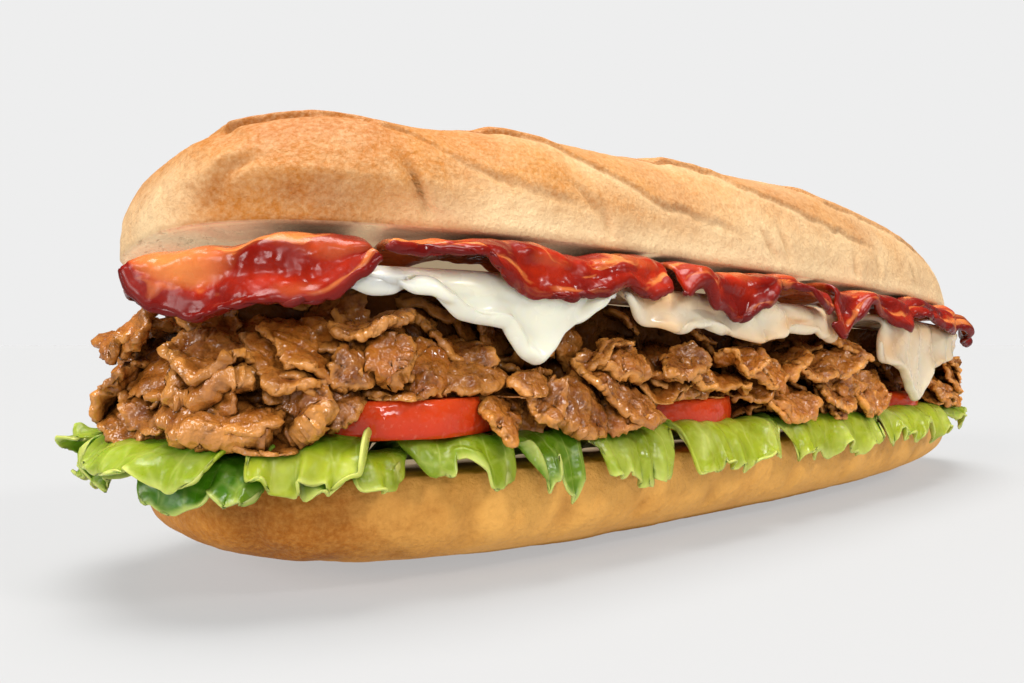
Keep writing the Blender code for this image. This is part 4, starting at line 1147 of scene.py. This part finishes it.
# slices that stand out at the front: along, height, length and width in mm, slope along the slice, tilt of
# its face, then curl and thickness in mm
shownSlices = (
    (-172, 37, 20, 14, -0.30, 0.7, 3, 2.4),
    (-163, 36, 22, 15, 0.60, 0.5, 2, 2.4),
    (-158, 46, 11, 10, 0.10, 0.6, 3, 3.0),
    (-153, 30, 20, 16, 0.10, 0.5, 4, 2.6),
    (-137, 43.4, 18, 13, 0.08, 0.25, 1, 2.6),
    (-125, 42, 17, 12, -0.30, 0.6, 2, 2.4),
    (-136, 38.6, 17, 11, -0.08, 0.4, 1, 5.5),
    (-137, 32, 27, 17, 0.0, 0.35, 1, 6.0),
    (-134, 28.4, 24, 15, 0.10, 0.2, 1, 2.0),
    (-135, 25.8, 26, 15, 0.05, 0.2, 2, 2.2),
    (-123, 34.4, 12, 13, 0.0, 1.1, 1, 6.0),
    (-121, 46, 17, 13, -0.45, 0.7, 2, 2.5),
    (-115, 41, 9, 10, -0.6, 0.9, 1, 3.0),
    (-109, 42.6, 9.5, 12, 0.1, 1.15, 1, 5.5),
    (-111.5, 49.4, 16, 12, 0.10, 0.15, 1, 2.4),
    (-103, 37.6, 14, 14, 0.55, 0.95, 5, 2.3),
    (-117, 35.6, 7, 9, 0.0, 1.1, 1, 2.6),
    (-94, 44.3, 23, 12, -0.42, 0.35, 1, 2.3),
    (-87.5, 34, 11, 16, -0.35, 1.2, 2, 2.5),
    (-79.5, 34.5, 9, 13, 0.10, 1.2, 1, 2.8),
    (-82.5, 28, 9, 9, 0.0, 0.95, 1, 3.0),
    (-68.5, 48.5, 10, 14, 0.2, 1.0, 3, 3.0),
    (-78.5, 39.5, 15, 11, -0.08, 0.12, 1, 2.0),
    (-59, 43.6, 14, 11, 0.1, 0.9, 2, 4.5),
    (-60, 35.5, 25, 13, -0.75, 1.1, 1, 2.3),
    (-68.5, 30, 16, 15, -0.5, 1.1, 1, 4.8),
    (-59, 30.3, 13, 10, 0.1, 0.9, 1, 2.4),
    (-40.5, 41.0, 16, 10, 0.5, 0.8, 1, 2.5),
    (-35.5, 38.2, 13, 9, 0.0, 0.5, 2, 2.6),
    (-20.5, 42.8, 13, 10, -0.12, 0.12, 1, 1.9),
    (-11, 34, 22, 12, -0.40, 0.85, 1, 2.5),
    (-7.5, 40.8, 9, 12, 0.2, 1.0, 3, 2.8),
    (10.5, 37, 17, 11, -0.3, 0.4, 1, 2.3),
    (26.5, 41.9, 24, 12, 0.0, 0.5, 1, 2.4),
    (23.5, 32.4, 20, 15, 0.45, 1.0, 1, 2.4),
    (0.5, 26.6, 20, 12, -0.4, 0.9, 1, 3.8),
    (22.5, 23.6, 9, 9, 0.0, 0.9, 1, 2.6),
    (36, 24, 11, 11, 0.1, 1.0, 1, 2.6),
    (43, 29.5, 14, 11, 0.4, 0.8, 1, 2.4),
    (37.5, 45.6, 26, 12, -0.38, 0.8, 1, 2.3),
    (96, 28.5, 12, 12, -0.2, 1.0, 2, 2.6),
    (116, 34.0, 11, 12, 0.2, 1.0, 3, 2.4),
    (107, 24.5, 11, 11, 0.1, 0.9, 2, 2.6),
    (122, 26.5, 12, 12, -0.3, 0.9, 2, 2.6),
)


def meatFloor(x):
    return meat["floor"] + meat["floorSlope"] * x


def meatCeiling(x, y):
    return crownFace(x, y) - meat["ceilingDrop"]


def tomatoTop(x, y):
    for _, cx, cy, underside, _ in tomatoes:
        if math.hypot(x - cx * mm, y - cy * mm) < tomato["radius"]:
            return underside * mm + tomato["thickness"] + 0.3 * mm
    return None


def hangingItems():
    # stretches of hanging edge as (start, end, lowest height)
    items = []
    for hem in [row[-1] for row in cheeses] + [row[-1] for row in rashers]:
        for (a, low), (b, high) in zip(hem, hem[1:]):
            items.append((a * mm, b * mm, (min(low, high) - 1.5) * mm))
    return items


def hangsOver(along, items, margin):
    lowest = None
    for start, end, low in items:
        for turn in (-perimeter, 0, perimeter):
            if start - margin < along + turn < end + margin:
                lowest = low if lowest is None else min(lowest, low)
    return lowest


def makeSlice(draw, length, width, thickness, curl, cells):
    # one shaved slice: a bent flake with torn sides, its outer edge at -Y
    seed = draw.uniform(0, 60)
    count = draw.randint(5, 7)
    sides = []
    for i in range(count):
        turn = (i + draw.uniform(-0.3, 0.3)) / count * 2 * math.pi
        sides.append((turn, draw.uniform(0.74, 1.0)))
    axis, bow = draw.uniform(-0.8, 0.8), draw.uniform(-3.0, 3.0) * mm
    twist, fold = draw.uniform(-0.25, 0.25), draw.uniform(1.0, 2.6) * mm
    bm = bmesh.new()
    layer = toneLayer(bm)
    columns, rows = max(8, round(length / cells)), max(6, round(width / cells))
    bmesh.ops.create_grid(bm, x_segments=columns, y_segments=rows, size=1)
    for vert in bm.verts:
        u, v = vert.co.x, vert.co.y
        radius = max(abs(u), abs(v))
        angle = math.atan2(v, u)
        east, north = math.cos(angle), math.sin(angle)
        # the outline is a polygon with rounded corners and torn sides
        reach = sum(max(0.0, math.cos(angle - turn) / far) ** 9 for turn, far in sides) ** (-1 / 9)
        torn = 0.17 * wobble(east * 3, north * 3, 0, seed + 1)
        torn += 0.09 * wobble(east * 8, north * 8, 0, seed + 2)
        reach = min(1.35, reach) * (1 + torn * radius)
        x, y = east * radius * reach * length / 2, north * radius * reach * width / 2
        outer = max(0.0, 0.5 - 0.5 * north * radius)
        bent = (x * math.cos(axis) + y * math.sin(axis)) / (length / 2)
        z = twist * x - curl * outer * outer - bow * bent * bent
        z += fold * 1.6 * wobble(x / (7 * mm), y / (7 * mm), 0, seed + 3)
        z += 1.6 * mm * wobble(east * 1.6, north * 1.6, 2, seed + 4) * radius ** 3
        z += 0.5 * mm * wobble(x / (2.4 * mm), y / (2.4 * mm), 0, seed + 6) * (0.3 + radius)
        vert.co = Vector((x, y, z))
        vert[layer] = (radius, 0.5 + 0.5 * wobble(x / (6 * mm), y / (6 * mm), 1, seed), seed % 1, 0)
    thickenSheet(bm, thickness, 0.5)
    bm.normal_update()
    moves = []
    for vert in bm.verts:
        p = vert.co
        coarse = wobble(p.x / (1.9 * mm), p.y / (1.9 * mm), p.z / (1.5 * mm), seed + 4)
        fine = wobble(p.x / (0.9 * mm), p.y / (0.9 * mm), p.z / (0.8 * mm), seed + 5)
        # cracks along the meat's grain
        line = abs(wobble(p.x / (8 * mm), p.y / (3 * mm), p.z / (3 * mm), seed + 7))
        crack = meat["crack"] * max(0.0, 1 - line / 0.07)
        relief = meat["coarseRelief"] * coarse + meat["fineRelief"] * fine - crack
        moves.append(vert.normal * relief)
    for vert, move in zip(bm.verts, moves):
        vert.co += move
    return bm


def keepClear(bm, layer, reach, low, floor):
    # moves a slice as a whole between what lies under and over it, then bends in what still stands out
    limits = []
    for vert in bm.verts:
        x, y = vert.co.x, vert.co.y
        excess = edgeOffset(x, y) - reach
        if excess > 0:
            flat = Vector((x, y, 0))
            flat -= (flat - spinePoint(x)).normalized() * excess * 0.85
            vert.co.x, vert.co.y = flat.x, flat.y
        ceiling = meatCeiling(vert.co.x, vert.co.y)
        bottom = meatFloor(vert.co.x) if floor is None else floor
        limits.append((bottom, ceiling if low is None else min(ceiling, low)))
    under = max(bottom - vert.co.z for vert, (bottom, _) in zip(bm.verts, limits))
    over = max(vert.co.z - top for vert, (_, top) in zip(bm.verts, limits))
    if over < 0:
        lift = 0.8 * max(0.0, under)
    elif under < 0:
        lift = -0.8 * max(0.0, over)
    else:
        lift = 0.4 * (under - over)
    for vert, (bottom, top) in zip(bm.verts, limits):
        z = vert.co.z + lift
        z = top + 0.3 * (z - top) if z > top else z
        vert.co.z = bottom + 0.3 * (z - bottom) if z < bottom else z
        tone = vert[layer]
        # how far the slice stands out of the heap's face, from which the material paints shade
        shown = smoothstep(-7 * mm, 2.5 * mm, edgeOffset(vert.co.x, vert.co.y))
        vert[layer] = (tone[0], tone[1], tone[2], shown)


def slicePile():
    # rows of every slice: the shown ones, then rings all round, coarse at the back and finer at the front
    draw = random.Random(meat["seed"])
    rows = []
    for along, height, length, width, slope, tilt, curl, thickness in shownSlices:
        sizes = [value * mm for value in (along, height, length, width, curl, thickness)]
        sizes[-1] *= meat["slimmer"]
        rows.append(("shown", *sizes, slope, tilt * 0.8, 0.0))
    for level in range(meat["levels"]):
        along = -200 * mm + 5 * mm * level
        while along < perimeter - 200 * mm:
            front = along < 150 * mm
            point, _ = edgeAt(along)
            low, high = meatFloor(point.x), meatCeiling(point.x, point.y)
            height = low + (high - low) * (level + draw.uniform(0.2, 0.8)) / meat["levels"]
            side = "front" if front else "back"
            sunk = draw.uniform(*meat[side + "Sunk"])
            tilt = draw.uniform(*meat["flatTilt" if draw.random() < meat["flatShare"] else "steepTilt"])
            length, width = draw.uniform(*meat["lengths"]), draw.uniform(*meat["widths"])
            curl, thickness = draw.uniform(*meat["curls"]), meat["thickness"] * draw.uniform(0.8, 1.4)
            slope = draw.uniform(-0.45, 0.45)
            rows.append((side, along, height, length, width, curl, thickness, slope, tilt, sunk))
            along += draw.uniform(*meat[side + "Spacing"])
    return rows


def makeMeat(material):
    draw = random.Random(meat["seed"] + 1)
    hanging = hangingItems()
    piles = {}
    for side, along, height, length, width, curl, thickness, slope, tilt, sunk in slicePile():
        low = hangsOver(along, hanging, 0.4 * length)
        covered = low is not None and height > low - (0 if side == "shown" else 4 * mm)
        reach = (meat["upperReach"] if covered else meat["lowerReach"]) - sunk
        bm = makeSlice(draw, length, width, thickness, curl, meat["cells"][side])
        outward = edgeAt(along)[1]
        facing = math.atan2(outward.y, outward.x) + math.pi / 2
        centre = edgePlace(along, reach - width / 2 * math.cos(tilt), height)
        turn = Euler((tilt, -slope, facing + draw.uniform(-0.25, 0.25))).to_matrix().to_4x4()
        bm.transform(Matrix.Translation(centre) @ turn)
        # a slice that hangs steeply at the front may hang past a tomato, any other lies on it
        inside = edgePlace(along, -8 * mm, 0)
        floor = None if side == "shown" and tilt > 0.8 else tomatoTop(inside.x, inside.y)
        layer = bm.verts.layers.float_color["tone"]
        keepClear(bm, layer, reach, None if covered else low, floor)
        name = side if side != "front" else "left" if along < -60 * mm else "right"
        if name not in piles:
            piles[name] = bmesh.new()
            toneLayer(piles[name])
        joinInto(piles[name], bm)
    for name, pile in piles.items():
        piece = addPiece("shaved_meat_" + name, pile, material, ["meat"])
        print("  ", piece.name, sum(len(face.vertices) - 2 for face in piece.data.polygons), "triangles")


def makeMeatCore(material):
    bm = bmesh.new()
    layer = toneLayer(bm)
    bmesh.ops.create_grid(bm, x_segments=120, y_segments=30, size=1)
    length, width = roll["length"] - 2 * meat["coreInset"], roll["width"] - 2 * meat["coreInset"]
    for vert in bm.verts:
        spot = loafPoint(vert.co.x, vert.co.y, length, width, 1, roll["crownPower"])
        vert.co = Vector((spot.x, spot.y, meatFloor(spot.x)))
    made = bmesh.ops.extrude_face_region(bm, geom=bm.faces[:])
    for item in made["geom"]:
        if isinstance(item, bmesh.types.BMVert):
            item.co.z = meatCeiling(item.co.x, item.co.y) - 0.6 * mm
    bmesh.ops.recalc_face_normals(bm, faces=bm.faces)
    walls = [edge for edge in bm.edges if abs(edge.verts[0].co.z - edge.verts[1].co.z) > 10 * mm]
    bmesh.ops.subdivide_edges(bm, edges=walls, cuts=14, use_grid_fill=True)
    bm.normal_update()
    for vert in bm.verts:
        p = vert.co
        lump = 2.2 * mm * wobble(p.x / (7 * mm), p.y / (7 * mm), p.z / (4 * mm), 9)
        side = smoothstep(-14 * mm, -9 * mm, edgeOffset(p.x, p.y))
        vert.co = p + (p - spinePoint(p.x) - Vector((0, 0, p.z))).normalized() * lump * side
        # painted shade: the core is marked as deep in the heap, so the material paints it nearly black
        vert[layer] = (0.5, 0.5 + 0.5 * wobble(p.x / (6 * mm), p.y / (6 * mm), p.z / (6 * mm), 3), 0.3, 0.05)
    return addPiece("shaved_meat_core", bm, material, ["meat"])


def makeMeatMaterial():
    material, tree, shader, coords, tone, shown = newMaterial("shaved_meat")
    outward, patch, own = tone["Red"], tone["Green"], tone["Blue"]
    mottle = placeMottle(tree, coords, meat["tan"], meat["brown"], 110.0, 600.0)
    # every slice has its own shade, from oily orange to dark brown
    colour = mixColour(tree, ramp(tree, own, 0.5, 0.0, 0.0, 0.5), mottle["Color"], meat["oil"])
    colour = mixColour(tree, ramp(tree, own, 0.5, 1.0, 0.0, 0.6), colour, meat["brown"])
    crisp = times(tree, ramp(tree, outward, 0.78, 0.98), ramp(tree, patch, 0.3, 0.6, 0.2, 0.85))
    colour = mixColour(tree, crisp, colour, meat["crisp"])
    dark = times(tree, ramp(tree, noiseMask(tree, coords, 230.0, 4, 0.6), 0.54, 0.70), 0.55)
    colour = mixColour(tree, dark, colour, meat["charAndShade"])
    light = times(tree, mottle["Speck"], 0.35)
    colour = mixColour(tree, light, colour, meat["crisp"])
    # painted light: the colour is multiplied up towards the right
    place = addNode(tree, "ShaderNodeSeparateXYZ", {"Vector": coords}).outputs["X"]
    paintedLightGain = mixColour(tree, ramp(tree, place, -0.13, 0.09), meat["paintedLightLeft"], meat["paintedLightRight"])
    colour = mixColour(tree, 1.0, colour, paintedLightGain, "MULTIPLY")
    # painted shade: darker towards the inside of the heap and in its gaps
    deep = ramp(tree, shown, 0.0, 0.8, 0.92, 0.0)
    narrow = ramp(tree, gapMask(tree, meat["gapReach"]), 0.62, 0.20, 0.0, 0.9)
    deep = combine(tree, "MAXIMUM", deep, narrow)
    colour = mixColour(tree, deep, colour, meat["charAndShade"])
    tree.links.new(colour, shader.inputs["Base Color"])
    placeMoist(tree, shader, coords, meat["finish"])
    tree.links.new(ramp(tree, deep, 0.0, 0.7, 0.75, 0.05), shader.inputs["Specular IOR Level"])
    return material


studio = {
    "cameraPlace": (-0.1856, -0.1568, 0.0455),
    "cameraYaw": 0.7029,  # from +Y towards +X
    "cameraPitch": -0.0038,
    "focalPixels": 850,  # at the photograph's width of 1024
    "backdrop": 0.855,
    "fill": 0.38,
    "mirrored": 0.35,  # the share of the fill that shiny surfaces mirror
    "floorSize": 6,
    "floorColour": (0.224, 0.227, 0.231),
    "floorGlow": 0.42,  # lifts the shadow, as in a lit studio
    # suns as name, direction, strength, angle in degrees and colour
    "suns": (
        ("top", (0.02, -0.02, -1), 3.7, 40, (1.0, 0.98, 0.95)),
        ("front", (-0.22, 0.8, -0.6), 0.9, 9, (1.0, 0.98, 0.95)),
        ("rim", (0.85, 0.05, -0.4), 1.5, 25, (1.0, 0.99, 0.97)),
    ),
    # a soft box beside the camera, which gives the wet filling its glints
    "boxPlace": (-0.34, -0.46, 0.20),
    "boxAim": (-0.04, -0.03, 0.04),
    "boxSize": (0.11, 0.07),
    "boxPower": 0.45,
}


def makeCamera():
    data = bpy.data.cameras.new("camera")
    data.sensor_width = 36
    data.lens = studio["focalPixels"] / 1024 * data.sensor_width
    data.clip_start = 0.005
    camera = bpy.data.objects.new("camera", data)
    yaw, pitch = studio["cameraYaw"], studio["cameraPitch"]
    forward = Vector((math.sin(yaw) * math.cos(pitch), math.cos(yaw) * math.cos(pitch), math.sin(pitch)))
    camera.location = studio["cameraPlace"]
    camera.rotation_euler = forward.to_track_quat("-Z", "Y").to_euler()
    bpy.context.scene.collection.objects.link(camera)
    bpy.context.scene.camera = camera


def makeFloor():
    bm = bmesh.new()
    bmesh.ops.create_grid(bm, x_segments=8, y_segments=8, size=studio["floorSize"])
    mesh = bpy.data.meshes.new("floor")
    bm.to_mesh(mesh)
    bm.free()
    material = bpy.data.materials.new("pale_floor")
    material.use_nodes = True
    tree = material.node_tree
    shader = tree.nodes["Principled BSDF"]
    shiny = addNode(tree, "ShaderNodeLightPath").outputs["Is Glossy Ray"]
    glow = ramp(tree, shiny, 0.0, 1.0, studio["floorGlow"], studio["floorGlow"] * studio["mirrored"])
    tree.links.new(glow, shader.inputs["Emission Strength"])
    shader.inputs["Base Color"].default_value = (*studio["floorColour"], 1)
    shader.inputs["Roughness"].default_value = 0.9
    shader.inputs["Specular IOR Level"].default_value = 0.0
    shader.inputs["Emission Color"].default_value = (1, 1, 1, 1)
    mesh.materials.append(material)
    floor = bpy.data.objects.new("floor", mesh)
    bpy.context.scene.collection.objects.link(floor)


def makeWorld():
    world = bpy.data.worlds.new("studio")
    bpy.context.scene.world = world
    world.use_nodes = True
    tree = world.node_tree
    tree.nodes.clear()
    seen = addNode(tree, "ShaderNodeBackground", {"Color": (1, 1, 1, 1), "Strength": studio["backdrop"]})
    lit = addNode(tree, "ShaderNodeBackground", {"Color": (1, 0.99, 0.975, 1), "Strength": studio["fill"]})
    path = addNode(tree, "ShaderNodeLightPath")
    mirrored = studio["fill"] * studio["mirrored"]
    dim = ramp(tree, path.outputs["Is Glossy Ray"], 0.0, 1.0, studio["fill"], mirrored)
    tree.links.new(dim, lit.inputs["Strength"])
    shaders = {0: path.outputs["Is Camera Ray"], 1: lit.outputs[0], 2: seen.outputs[0]}
    mix = addNode(tree, "ShaderNodeMixShader", shaders)
    output = addNode(tree, "ShaderNodeOutputWorld")
    tree.links.new(mix.outputs[0], output.inputs["Surface"])


def addLight(name, kind, power, direction):
    data = bpy.data.lights.new(name, kind)
    data.energy = power
    light = bpy.data.objects.new(name, data)
    light.rotation_euler = Vector(direction).to_track_quat("-Z", "Y").to_euler()
    bpy.context.scene.collection.objects.link(light)
    return light


def makeLights():
    for name, direction, strength, angle, colour in studio["suns"]:
        sun = addLight(name, "SUN", strength, direction)
        sun.data.angle = math.radians(angle)
        sun.data.color = colour
    place = Vector(studio["boxPlace"])
    box = addLight("box", "AREA", studio["boxPower"], Vector(studio["boxAim"]) - place)
    box.location = place
    box.data.shape = "RECTANGLE"
    box.data.size, box.data.size_y = studio["boxSize"]


def makeAll(material, make, rows):
    for number, row in enumerate(rows):
        make(row, number, material)


def main():
    bpy.context.scene.view_settings.view_transform = "Standard"
    makeCamera()
    makeFloor()
    makeWorld()
    makeLights()
    print("studio ready")
    makeCrown(makeBreadMaterial("crown_crust", ("golden", "brown", "pale"), 0.8, 0.16, 0.1))
    makeBase(makeBreadMaterial("base_crust", ("under", "underDark", "underPale"), 0, 0.3, 0.4))
    print("bread ready")
    makeAll(makeLettuceMaterial(), makeLeaf, leaves)
    print("lettuce ready")
    makeAll(makeTomatoMaterial(), makeTomato, tomatoes)
    print("tomato ready")
    meatMaterial = makeMeatMaterial()
    makeMeatCore(meatMaterial)
    makeMeat(meatMaterial)
    print("meat ready")
    makeAll(makeCheeseMaterial(), makeCheese, cheeses)
    print("cheese ready")
    makeAll(makeBaconMaterial(), makeRasher, rashers)
    print("bacon ready")


main()
